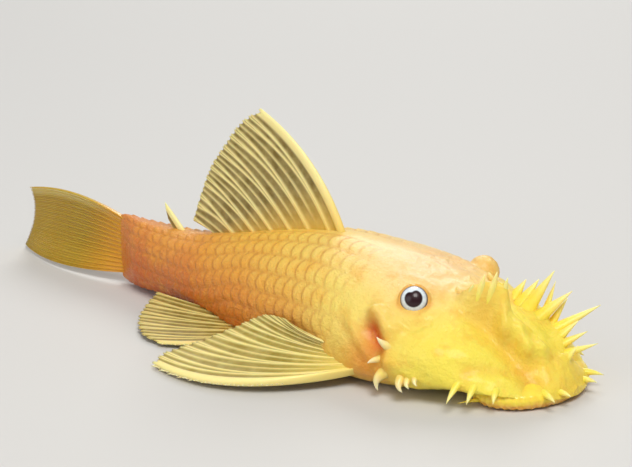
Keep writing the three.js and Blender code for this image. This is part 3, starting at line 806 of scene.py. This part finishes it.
# %% Fans of the fins: points from the front spine to the last ray
FINS = {
    "dorsal_fin": dict(
        roots=[(43.4, 0, 17), (52, 0, 16.4), (61, 0, 14.6), (70, 0, 12.6)],
        bows=[(-4.1, 0, 4.1), (-2.6, 0, 2.4), (-1.4, 0, 1.2), (-0.4, 0, 0.4)],
        tips=[(62.2, 0, 37.8), (67, 0, 34.8), (71, 0, 30.2), (74.2, 0, 26), (76.4, 0, 21.4),
              (78.8, 0, 15.4)],
        rays=8, forked=True, spine=1.15, rows=70,
    ),
    "adipose_fin": dict(
        roots=[(79.4, 0, 11.6), (80.6, 0, 11.4), (82, 0, 11.2)],
        bows=[(-0.3, 0, 0.3), (-0.2, 0, -0.2), (-0.2, 0, -0.6)],
        tips=[(86, 0, 17.5), (85.9, 0, 16.3), (85.2, 0, 14.6)],
        rays=2, forked=False, spine=0.9, rows=24,
    ),
    "caudal_fin": dict(
        roots=[(95.4, 0, 12), (96.6, 0, 9), (97, 0, 5.4), (97.2, -0.3, 2)],
        bows=[(0, 0, 4.2), (0, 0, 1.8), (0, -1.5, 0.2), (0, -6, -1)],
        tips=[(129, 0, 12.4), (128.3, 0.3, 9.4), (128.6, 0.2, 6), (129.6, -0.2, 3),
              (130.6, -0.6, 0.6)],
        rays=16, forked=True, spine=1.0, rows=60,
    ),
    "anal_fin": dict(
        roots=[(72.5, 0.3, 1.9), (74.5, 0.5, 2), (76.5, 0.6, 2.1)],
        bows=[(-0.4, 0.2, -0.6), (0, 0.3, -0.5), (0, 0.3, -0.4)],
        tips=[(84, 1.8, 0.5), (86, 2.8, 0.75), (86.4, 3.8, 1.3)],
        rays=5, forked=False, spine=0.8, rows=30,
    ),
    "pectoral_fin_right": dict(
        roots=[(29.5, -14.2, 2.6), (30.4, -14.2, 3.4), (31.8, -14.2, 4.3), (33.4, -14.2, 5.2)],
        bows=[(-3.5, -15.6, -0.4), (-2, -8, -0.2), (-0.8, -4.4, 0.2), (0, -3.2, 0.4)],
        tips=[(61, -28.5, 0.7), (61.4, -25.2, 1.6), (58.4, -19.8, 3), (55, -14.8, 5),
              (50, -14.4, 7.7), (44.5, -15.6, 8.4)],
        rays=7, forked=True, spine=1.7, rows=70,
    ),
    "pelvic_fin_right": dict(
        roots=[(54.4, -7.6, 1.6), (55.6, -7.2, 2), (57.2, -6.6, 2.6)],
        bows=[(-4, -2.6, 0), (-2, -1.6, 0.2), (-0.4, -1, 0.2)],
        tips=[(66.5, -21, 0.7), (71.7, -19.8, 0.9), (76.5, -15.9, 1.4), (79.2, -11.7, 2.2),
              (81.3, -6.7, 3.3)],
        rays=6, forked=True, spine=1.05, rows=60,
    ),
}
FAN_LINES = ("roots", "bows", "tips")
for name in ("pectoral_fin", "pelvic_fin"):
    right = FINS[name + "_right"]
    flipped = {key: [(s, -y, z) for s, y, z in right[key]] for key in FAN_LINES}
    FINS[name + "_left"] = {**right, **flipped}
print("fins:", len(FINS))

# %% Thickness and rim of a fin
MEMBRANE = 0.24
RAY = 0.72
RAY_END = 0.42
FORK = 0.22
SECOND_FORK = 0.6
FINE_RAY = 0.75
FINE_RAY_WIDTH = 0.06
PLAIN_RAY_WIDTH = 0.11
RAY_WIDTHS = (0.085, 0.05)
FORK_SPREADS = (0.03, 0.19)
SECOND_SPREAD = 0.07
JOINTS = 150
JOINT_HEIGHT = 0.06
SPINE_WIDTH = 0.3
SPINE_END = 0.45
RIM_NOTCH = 0.022
COLUMNS_PER_RAY = 22


def line_through(points, share):
    """A smooth curve through points, from the first, 0, to the last, 1."""
    spans = len(points) - 1
    i = min(int(share * spans), spans - 1)
    t = share * spans - i
    near = [points[clamp(k, 0, spans)] for k in (i - 1, i, i + 1, i + 2)]
    result = []
    for p0, p1, p2, p3 in zip(*near):
        v0, v1 = (p2 - p0) / 2, (p3 - p1) / 2
        bend = (2 * p1 - 2 * p2 + v0 + v1) * t ** 3 + (3 * p2 - 3 * p1 - 2 * v0 - v1) * t ** 2
        result.append(bend + v0 * t + p1)
    return result


def fan_lines(fin, across):
    """The root, bow and tip of the line at a share of the way from the spine."""
    return [line_through(fin[key], across) for key in FAN_LINES]


def ray_share(fin, across, out):
    """How much of a ray there is at a place on the fin, from 0, membrane, to 1, its crest."""
    lane = across * (fin["rays"] - 1)
    nearest = round(lane)
    gap = abs(lane - nearest)
    if nearest == 0 or not fin["forked"]:
        return hill(gap, PLAIN_RAY_WIDTH)
    first = lerp(*FORK_SPREADS, smoothstep(out, FORK, 1.05))
    second = SECOND_SPREAD * smoothstep(out, SECOND_FORK, 1.1)
    width = lerp(*RAY_WIDTHS, out)
    fine = FINE_RAY * hill(0.5 - gap, FINE_RAY_WIDTH) * smoothstep(out, 0.08, 0.3)
    return max(hill(gap - first - second, width), hill(gap - first + second, width), fine)


def fin_half_thickness(fin, across, out, ray):
    """Half the thickness in mm, which falls to nothing at the root, the rim and the rear."""
    lane = across * (fin["rays"] - 1)
    thickness = lerp(MEMBRANE, lerp(RAY, RAY_END, out), ray)
    joints = 1 + JOINT_HEIGHT * sin(out * JOINTS) * ray * smoothstep(out, 0.3, 0.5)
    if lane < 2 * SPINE_WIDTH:
        round_edge = sqrt(clamp(1 - ((lane - SPINE_WIDTH) / SPINE_WIDTH) ** 2))
        spine = lerp(fin["spine"], fin["spine"] * SPINE_END, out) * round_edge
        thickness = max(spine, thickness * smoothstep(lane, 0, SPINE_WIDTH))
    last = fin["rays"] - 1 - lane
    rear = smoothstep(last, -0.02, 0.12)
    ends = smoothstep(out, 0, 0.02) * (1 - smoothstep(out, 0.97, 1)) ** 0.5
    return thickness * joints * rear * ends / 2


# %% Making the fins
def make_fin(name, fin):
    columns = (fin["rays"] - 1) * COLUMNS_PER_RAY
    rows = fin["rows"]
    sheet = []
    for c in range(columns + 1):
        across = c / columns
        ends = fan_lines(fin, across)
        notch = RIM_NOTCH * (1 - ray_share(fin, across, 1)) if c > COLUMNS_PER_RAY / 4 else 0
        outs = [r / rows * (1 - notch * (r / rows) ** 4) for r in range(rows + 1)]
        sheet.append([place(*bowed(*ends, out)) for out in outs])

    mesh_bm = bmesh.new()
    bmesh.ops.create_grid(mesh_bm, x_segments=2 * columns, y_segments=rows, size=0.5)
    ray_layer = new_layer(mesh_bm, "ray")
    out_layer = new_layer(mesh_bm, "outward")
    across_layer = new_layer(mesh_bm, "across")
    for vertex in mesh_bm.verts:
        fold = round((vertex.co.x + 0.5) * 2 * columns)
        r = round((vertex.co.y + 0.5) * rows)
        c = min(fold, 2 * columns - fold)
        face = 1 if fold <= columns else -1
        across_way = sheet[min(c + 1, columns)][r] - sheet[max(c - 1, 0)][r]
        out_way = sheet[c][min(r + 1, rows)] - sheet[c][max(r - 1, 0)]
        normal = across_way.cross(out_way).normalized()
        ray = ray_share(fin, c / columns, r / rows)
        half = fin_half_thickness(fin, c / columns, r / rows, ray)
        here = sheet[c][r] + normal * face * half * MM
        vertex.co = (here.x, here.y, max(here.z, 0))
        vertex[ray_layer] = max(ray, 1 - smoothstep(c / COLUMNS_PER_RAY, 0.45, 0.6))
        vertex[out_layer] = r / rows
        vertex[across_layer] = c / columns
    bmesh.ops.remove_doubles(mesh_bm, verts=mesh_bm.verts, dist=0.001 * MM)
    piece = finish_piece(mesh_bm, name + "_skin")
    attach(piece, "root")
    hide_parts(name)
    return piece


fins = {name: make_fin(name, fin) for name, fin in FINS.items()}
print("fin faces:", {name: len(piece.data.polygons) for name, piece in fins.items()})

# %% [markdown]
# ## Prickles on the fin spines
# The front spine of a side fin is rough with tiny hooks, longest near its tip. They are the
# same tapered tubes, set along the spine by a loop, each leaning outwards and to the front.

# %% Prickles: how many, where the first stands along the spine, and the longest
PRICKLED = {"pectoral_fin": (34, 0.30, 0.75), "pelvic_fin": (16, 0.45, 0.4)}
PRICKLES_END = 0.97
PRICKLE_LENGTH = 0.35
PRICKLE_RADIUS = 0.13
LOWEST_TIP = 0.15
LIFTS = (0.1, 0.8, 0.45)

prickles_bm = new_spines()
for fin_name, (count, first, longest) in PRICKLED.items():
    for hand, word in ((-1, "right"), (1, "left")):
        fin = FINS[f"{fin_name}_{word}"]
        ends, behind = fan_lines(fin, 0), fan_lines(fin, 0.1)
        for i in range(count):
            out = lerp(first, PRICKLES_END, i / (count - 1))
            here = Vector(bowed(*ends, out))
            away = (here - Vector(bowed(*behind, out))).normalized()
            onward = (Vector(bowed(*ends, out + 0.02)) - here).normalized()
            lift = Vector((0, 0, LIFTS[i % len(LIFTS)]))
            lean = (away * 0.9 + onward * 0.9 + lift).normalized()
            root = here + away * fin["spine"] * lerp(0.3, 0.1, out)
            length = lerp(PRICKLE_LENGTH, longest, out ** 2) * (1 + 0.2 * sin(i * 2.4))
            tip = root + lean * length
            tip.z = max(tip.z, LOWEST_TIP)
            add_spine(prickles_bm, root, (0, 0, 0), tip, PRICKLE_RADIUS, 6, taper=[1, 0.7, 0.1])
prickles = finish_piece(prickles_bm, "fin_prickles")
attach(prickles, "root")
print("prickle faces:", len(prickles.data.polygons))

# %% [markdown]
# ## Eyes
# The eye is a wet ball with a pale blue iris round a nearly black pupil, and a lobe of the
# iris hangs into the pupil from above. A texture on the ball's own map would stretch at its pole,
# so how far a point lies from the line of sight is worked out once and kept in the mesh.

# %% Eyes
PUPIL_ANGLE = radians(37)
LOBE_ANGLE = radians(26)
IRIS_ANGLE = radians(59)
IRIS_SHADE_ANGLE = radians(44)
LOBE_WIDTH = radians(26)
EYE_TOP = Vector((-0.35, 0, 1))
LENS_SWELL = 0.02
LENS_REACH = 0.5
BALL_INSET = 0.06


def make_eye(name, hand):
    axis = GAZES[hand].normalized()
    upward = (EYE_TOP - axis * axis.dot(EYE_TOP)).normalized()
    eye_bm = bmesh.new()
    bmesh.ops.create_uvsphere(eye_bm, u_segments=112, v_segments=84, radius=1)
    turn = axis.to_track_quat("Z", "Y").to_matrix().to_4x4()
    bmesh.ops.transform(eye_bm, matrix=turn, verts=eye_bm.verts)
    pupil_layer = new_layer(eye_bm, "pupil")
    iris_layer = new_layer(eye_bm, "iris")
    streak_layer = new_layer(eye_bm, "streak")
    for vertex in eye_bm.verts:
        direction = vertex.co.normalized()
        off = axis.angle(direction)
        flat = direction - axis * axis.dot(direction)
        round_angle = upward.angle(flat) if flat.length > 1e-4 else 0
        lobe = hill(round_angle, LOBE_WIDTH)
        edge = lerp(PUPIL_ANGLE, LOBE_ANGLE, lobe)
        sideways = axis.cross(upward).dot(flat)
        bearing = copysign(round_angle, sideways)
        vertex[pupil_layer] = 1 - smoothstep(off, edge - 0.05, edge + 0.05)
        vertex[iris_layer] = 1 - smoothstep(off, IRIS_ANGLE - 0.1, IRIS_ANGLE + 0.08)
        streak = 0.3 + 0.3 * sin(bearing * 17 + 2 * sin(bearing * 5))
        vertex[streak_layer] = clamp(streak + smoothstep(off, IRIS_SHADE_ANGLE, IRIS_ANGLE))
        swell = 1 + LENS_SWELL * hill(off, LENS_REACH)
        vertex.co = eye_centres[hand] + direction * (EYE_RADIUS - BALL_INSET) * swell * MM
    piece = finish_piece(eye_bm, name + "_ball")
    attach(piece, "root")
    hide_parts(name)
    return piece


eyes = [make_eye("eye_right", -1), make_eye("eye_left", 1)]
print("eyes:", len(eyes))

# %% [markdown]
# ## Nostril flaps
# A small flap of skin stands up behind each nostril. It could be drawn out of the skin, but
# the skin's grid is too coarse for so thin a form, so it is a flattened tube of its own.

# %% Nostril flaps
FLAP_TAPER = [1, 1, 0.98, 0.92, 0.8, 0.6, 0.25]

nostrils_bm = new_spines()
for hand in (-1, 1):
    station = NOSTRIL_STATION + NOSTRIL_RADIUS
    height = back_height(station, NOSTRIL_SIDE)
    root = (station, hand * NOSTRIL_SIDE, height - 0.9)
    tip = (station + 0.3, hand * NOSTRIL_SIDE, height + 1.15)
    add_spine(nostrils_bm, root, (-0.2, 0, 0), tip, NOSTRIL_RADIUS, 16, 0.32, FLAP_TAPER)
nostrils = finish_piece(nostrils_bm, "nostril_flaps")
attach(nostrils, "root")
print("nostril flaps:", len(nostrils.data.polygons), "faces")

# %% [markdown]
# ## Sucker mouth
# The mouth is a round disc under the head that grips stones. Its wide lip carries many small
# wart-like bumps, and in its middle two rows of fine teeth scrape. A profile is spun into the
# disc, and the bumps are pressed into its underside, so that it still rests flat.

# %% Disc of the mouth
MOUTH_STATION = 8.6
MOUTH_LENGTH = 8.2
MOUTH_WIDTH = 12
LIP_PROFILE = [
    (0.02, 3.6), (0.7, 3.5), (0.88, 3.0), (0.97, 2.4), (1.0, 1.7), (0.99, 0.9), (0.955, 0.3),
    (0.9, 0.02), (0.84, 0), (0.78, 0), (0.72, 0), (0.66, 0), (0.6, 0), (0.54, 0.02),
    (0.48, 0.12), (0.42, 0.3), (0.37, 0.5), (0.33, 0.8), (0.29, 1.25), (0.02, 1.3),
]
PAPILLA_PITCH = 1.05
PAPILLA_DEPTH = 0.28
PAPILLA_RADIUS = 0.34
PLEATS = 46
PLEAT_DEPTH = 0.10
MOUTH_STEPS = 180

mouth_bm = bmesh.new()
lip_points = [mouth_bm.verts.new((share, 0, height)) for share, height in LIP_PROFILE]
lip_edges = [mouth_bm.edges.new(pair) for pair in zip(lip_points, lip_points[1:])]
bmesh.ops.subdivide_edges(mouth_bm, edges=lip_edges, cuts=3)
bmesh.ops.spin(
    mouth_bm, geom=mouth_bm.verts[:] + mouth_bm.edges[:], axis=(0, 0, 1), cent=(0, 0, 0),
    steps=MOUTH_STEPS, angle=2 * pi, use_merge=True,
)
bmesh.ops.holes_fill(mouth_bm, edges=[edge for edge in mouth_bm.edges if edge.is_boundary])
papilla_layer = new_layer(mouth_bm, "papilla")
underside_layer = new_layer(mouth_bm, "underside")
mouth_centre = place(MOUTH_STATION, 0, 0)
for vertex in mouth_bm.verts:
    share = hypot(vertex.co.x, vertex.co.y)
    bearing = atan2(vertex.co.y, vertex.co.x)
    across, ahead = vertex.co.y * MOUTH_WIDTH, vertex.co.x * MOUTH_LENGTH
    low = 1 - smoothstep(vertex.co.z, 0.3, 1.6)
    row = round(ahead / PAPILLA_PITCH)
    shift = 0.5 * (row % 2)
    lane = across / PAPILLA_PITCH - shift
    gap = hypot(ahead / PAPILLA_PITCH - row, lane - round(lane))
    papilla = hill(gap, PAPILLA_RADIUS) * low
    pleats = PLEAT_DEPTH * sin(bearing * PLEATS) * smoothstep(share, 0.9, 0.99)
    wave = 1 + pleats * 0.08
    height = vertex.co.z + PAPILLA_DEPTH * (1 - papilla) * low * smoothstep(share, 0.3, 0.45)
    vertex[papilla_layer] = papilla
    vertex[underside_layer] = low
    vertex.co = mouth_centre + Vector((ahead * wave, across * wave, height)) * MM
mouth = finish_piece(mouth_bm, "mouth_disc")
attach(mouth, "root")
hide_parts("sucker_mouth")
print("mouth faces:", len(mouth.data.polygons))

# %% Teeth and barbels
TEETH = 16
TOOTH_LENGTH = 1.1
TOOTH_ROOT = 1.5
TOOTH_ROW = (0.35, 2.7)
ROW_BEND = 0.35
TOOTH_TAPER = [1, 0.9, 0.8, 0.3]

teeth_bm = new_spines()
for hand in (-1, 1):
    for jaw in (-1, 1):
        for i in range(TEETH):
            side = hand * lerp(*TOOTH_ROW, i / (TEETH - 1))
            bend = ROW_BEND * (abs(side) / TOOTH_ROW[1]) ** 2
            root = (MOUTH_STATION + jaw * (1.15 - bend), side, TOOTH_ROOT)
            tip = (MOUTH_STATION + jaw * (0.5 - bend), side * 1.04, TOOTH_ROOT - TOOTH_LENGTH)
            add_spine(teeth_bm, root, (0.25 * jaw, 0, 0), tip, 0.09, 6, taper=TOOTH_TAPER)
teeth = finish_piece(teeth_bm, "rasping_teeth")
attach(teeth, "root")

barbels_bm = new_spines()
for hand in (-1, 1):
    root, tip = (10, hand * 10.2, 1.0), (12.6, hand * 14.2, 0.9)
    add_spine(barbels_bm, root, (0, 0, 0.2), tip, 0.48, sides=12)
barbels = finish_piece(barbels_bm, "mouth_barbels")
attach(barbels, "root")
print("teeth:", 4 * TEETH)

# %% [markdown]
# ## Finish of the skin
# The skin is soft and wet, with light that goes a little way in. The material starts from the
# colours kept in the mesh, breaks them up with two sizes of noise and darkens the margins of
# the plates. Fine bumps give the plates their prickly feel and the head its wrinkles.


# %% Helpers for node trees
def mix_colours(add, factor, first, second):
    """Mixes two colours. Each input may be a value or another node's output."""
    node = add("ShaderNodeMix", data_type="RGBA", blend_type="MIX")
    for index, value in ((0, factor), (6, first), (7, second)):
        feed(node.inputs[index], value)
    return node.outputs[2]


def stretch(add, value, low, high, to_low, to_high):
    """Maps a value from one range to another."""
    node = add("ShaderNodeMapRange", From_Min=low, From_Max=high, To_Min=to_low, To_Max=to_high)
    feed(node.inputs["Value"], value)
    return node.outputs["Result"]


def combine(add, operation, first, second):
    node = add("ShaderNodeMath", operation=operation)
    feed(node.inputs[0], first)
    feed(node.inputs[1], second)
    return node.outputs[0]


def in_object_space(add, node):
    """Makes a pattern read the piece's own space, with its scale in waves a metre."""
    feed(node.inputs["Vector"], add("ShaderNodeTexCoord").outputs["Object"])
    return node


def noise_value(add, scale, detail, roughness=0.6):
    node = add("ShaderNodeTexNoise", Scale=scale, Detail=detail, Roughness=roughness)
    return in_object_space(add, node).outputs["Fac"]


def attribute(add, name, output="Fac"):
    return add("ShaderNodeAttribute", attribute_name=name).outputs[output]


def bump(add, height, distance_mm, normal=None):
    node = add("ShaderNodeBump", Strength=1.0, Distance=distance_mm * MM)
    feed(node.inputs["Height"], height)
    if normal:
        feed(node.inputs["Normal"], normal)
    return node.outputs["Normal"]


def grain(add, scale, detail, distance_mm):
    """A normal with small bumps from noise."""
    return bump(add, noise_value(add, scale, detail), distance_mm)


def set_flesh(shader, subsurface, scale_mm, roughness, coat):
    set_inputs(shader, {
        "Subsurface Weight": subsurface, "Subsurface Radius": (1.0, 0.45, 0.15),
        "Subsurface Scale": scale_mm * MM, "Roughness": roughness,
        "Coat Weight": coat, "Coat Roughness": 0.18, "Specular IOR Level": 0.3,
    })


# %% Living skin
MARGIN_COLOUR = (0.62, 0.20, 0.015, 1)
FRECKLE_COLOUR = (0.90, 0.40, 0.03, 1)
PALE_COLOUR = (1.0, 0.86, 0.20, 1)

skin_material, shader, add = new_material("living_skin")
freckles = stretch(add, noise_value(add, 260, 3), 0.5, 0.75, 0, 0.5)
colour = mix_colours(add, freckles, attribute(add, "skin_tint", "Color"), FRECKLE_COLOUR)
specks = stretch(add, noise_value(add, 1300, 4), 0.55, 0.85, 0, 0.3)
colour = mix_colours(add, specks, colour, PALE_COLOUR)
margins = combine(add, "MULTIPLY", attribute(add, "plate_margin"), 0.5)
colour = mix_colours(add, margins, colour, MARGIN_COLOUR)
prickle_cells = in_object_space(add, add("ShaderNodeTexVoronoi", Scale=2300))
prickly = combine(add, "MULTIPLY", prickle_cells.outputs["Distance"], attribute(add, "plated"))
wrinkled = bump(add, noise_value(add, 700, 6, 0.7), 0.5, bump(add, prickly, -0.09))
set_inputs(shader, {"Base Color": colour, "Normal": wrinkled})
set_flesh(shader, 0.15, 1.2, 0.33, 0.2)
skin.data.materials.append(skin_material)


# %% Bristles, hooks, prickles, flaps and teeth, each from root to tip
def spine_material(name, root_colour, tip_colour, coat):
    material, shader, add = new_material(name)
    to_tip = stretch(add, attribute(add, "toward_tip"), 0.45, 1.1, 0, 1)
    colour = mix_colours(add, to_tip, root_colour, tip_colour)
    streaks = stretch(add, noise_value(add, 900, 3), 0.4, 0.8, 0, 0.35)
    colour = mix_colours(add, streaks, colour, PALE_COLOUR)
    set_inputs(shader, {"Base Color": colour, "Normal": grain(add, 1500, 3, 0.06)})
    set_flesh(shader, 0.3, 1.2, 0.34, coat)
    return material


for piece, *look in (
    (bristles, "bristle_flesh", (0.99, 0.76, 0.08, 1), (0.97, 0.84, 0.40, 1), 0.1),
    (hooks, "hook_horn", (0.93, 0.66, 0.16, 1), (0.96, 0.88, 0.66, 1), 0.4),
    (prickles, "prickle_horn", (0.93, 0.80, 0.42, 1), (0.90, 0.72, 0.40, 1), 0.5),
    (nostrils, "nostril_flesh", (0.93, 0.60, 0.16, 1), (0.94, 0.72, 0.36, 1), 0.3),
    (teeth, "tooth_horn", (0.72, 0.50, 0.24, 1), (0.36, 0.14, 0.04, 1), 0.6),
):
    piece.data.materials.append(spine_material(*look))

# %% [markdown]
# ## Finish of the fins
# Between the rays a fin is thin enough to see through, and the rays are creamy and solid.
# The ray attribute drives both the colour and the opacity, so the see-through parts keep to
# the membrane exactly.


# %% Fins: colours of the membrane, rays and root, how opaque the membrane is, and a pale band at the front, partly a painted highlight
# pale front spine and first rays, with a painted highlight on the upward-facing edge
FRONT_RAYS_AND_HIGHLIGHT_COLOUR = (0.90, 0.80, 0.34, 1)


def fin_material(name, membrane_colour, ray_colour, root_colour, opacity, rays_and_highlight_band=0):
    material, shader, add = new_material(name)
    ray = attribute(add, "ray")
    outward = attribute(add, "outward")
    patchy = stretch(add, noise_value(add, 420, 4), 0.35, 0.75, 0.0, 0.3)
    membrane = mix_colours(add, patchy, membrane_colour, ray_colour)
    # the front edge is paler: its spine and first rays, plus a painted highlight
    front = stretch(add, attribute(add, "across"), 0.03, 0.16, rays_and_highlight_band, 0)
    membrane = mix_colours(add, front, membrane, FRONT_RAYS_AND_HIGHLIGHT_COLOUR)
    colour = mix_colours(add, ray, membrane, ray_colour)
    near_root = stretch(add, outward, 0, 0.4, 0.85, 0)
    solid = combine(add, "MAXIMUM", ray, stretch(add, outward, 0, 0.25, 1, 0))
    set_inputs(shader, {
        "Base Color": mix_colours(add, near_root, colour, root_colour),
        "Alpha": stretch(add, solid, 0, 1, opacity, 1),
        "Normal": grain(add, 1600, 4, 0.05),
    })
    set_flesh(shader, 0.25, 0.8, 0.38, 0.25)
    return material


FIN_LOOKS = {
    "dorsal": ((0.20, 0.135, 0.012, 1), (0.95, 0.82, 0.34, 1), (0.90, 0.60, 0.09, 1), 0.9),
    # the last 1 turns on the caudal fin's pale top band, partly a painted highlight
    "caudal": ((0.42, 0.25, 0.010, 1), (0.52, 0.34, 0.025, 1), (0.78, 0.34, 0.02, 1), 0.92, 1),
    "pectoral": ((0.38, 0.28, 0.04, 1), (0.97, 0.82, 0.32, 1), (0.96, 0.74, 0.16, 1), 0.85),
    "pelvic": ((0.25, 0.17, 0.018, 1), (0.84, 0.68, 0.24, 1), (0.84, 0.44, 0.05, 1), 0.85),
}
fin_finishes = {part: fin_material(part + "_web", *look) for part, look in FIN_LOOKS.items()}
fin_finishes["adipose"] = fin_finishes["dorsal"]
fin_finishes["anal"] = fin_finishes["pelvic"]
for name, piece in fins.items():
    piece.data.materials.append(fin_finishes[name.split("_")[0]])

# %% [markdown]
# ## Finish of the eyes and the mouth
# A clear coat over the whole ball makes the eye wet. The lips are soft amber flesh with paler
# bumps and a darker orange painted shade underneath, and the teeth are fine brown combs.

# %% Wet eye
PUPIL_COLOUR = (0.02, 0.001, 0.003, 1)
IRIS_COLOUR = (0.80, 0.88, 0.92, 1)
IRIS_SHADE = (0.50, 0.56, 0.64, 1)
SCLERA_COLOUR = (0.10, 0.09, 0.12, 1)

eye_material, shader, add = new_material("wet_eye")
streaks = combine(add, "MULTIPLY", attribute(add, "streak"), 0.5)
iris = mix_colours(add, streaks, IRIS_COLOUR, IRIS_SHADE)
ball = mix_colours(add, attribute(add, "iris"), SCLERA_COLOUR, iris)
set_inputs(shader, {
    "Base Color": mix_colours(add, attribute(add, "pupil"), ball, PUPIL_COLOUR),
    "Roughness": 0.35, "Coat Weight": 0.35, "Coat Roughness": 0.03, "Specular IOR Level": 0.3,
})
for eye in eyes:
    eye.data.materials.append(eye_material)

# %% Lips and barbels
LIP_COLOUR = (0.98, 0.74, 0.07, 1)
# darker orange painted shade on the lip's underside
UNDERSIDE_SHADE_COLOUR = (0.86, 0.38, 0.03, 1)
PAPILLA_COLOUR = (0.94, 0.62, 0.20, 1)
LIP_PATCH_COLOUR = (0.92, 0.54, 0.06, 1)

lip_material, shader, add = new_material("lip_flesh")
# the lip's underside gets painted shade in darker orange
colour = mix_colours(add, attribute(add, "underside"), LIP_COLOUR, UNDERSIDE_SHADE_COLOUR)
colour = mix_colours(add, attribute(add, "papilla"), colour, PAPILLA_COLOUR)
patchy = stretch(add, noise_value(add, 500, 4), 0.4, 0.7, 0, 0.5)
colour = mix_colours(add, patchy, colour, LIP_PATCH_COLOUR)
set_inputs(shader, {"Base Color": colour, "Normal": grain(add, 1200, 4, 0.08)})
set_flesh(shader, 0.3, 1.5, 0.36, 0.4)
mouth.data.materials.append(lip_material)
barbels.data.materials.append(lip_material)
print("materials:", len(bpy.data.materials))
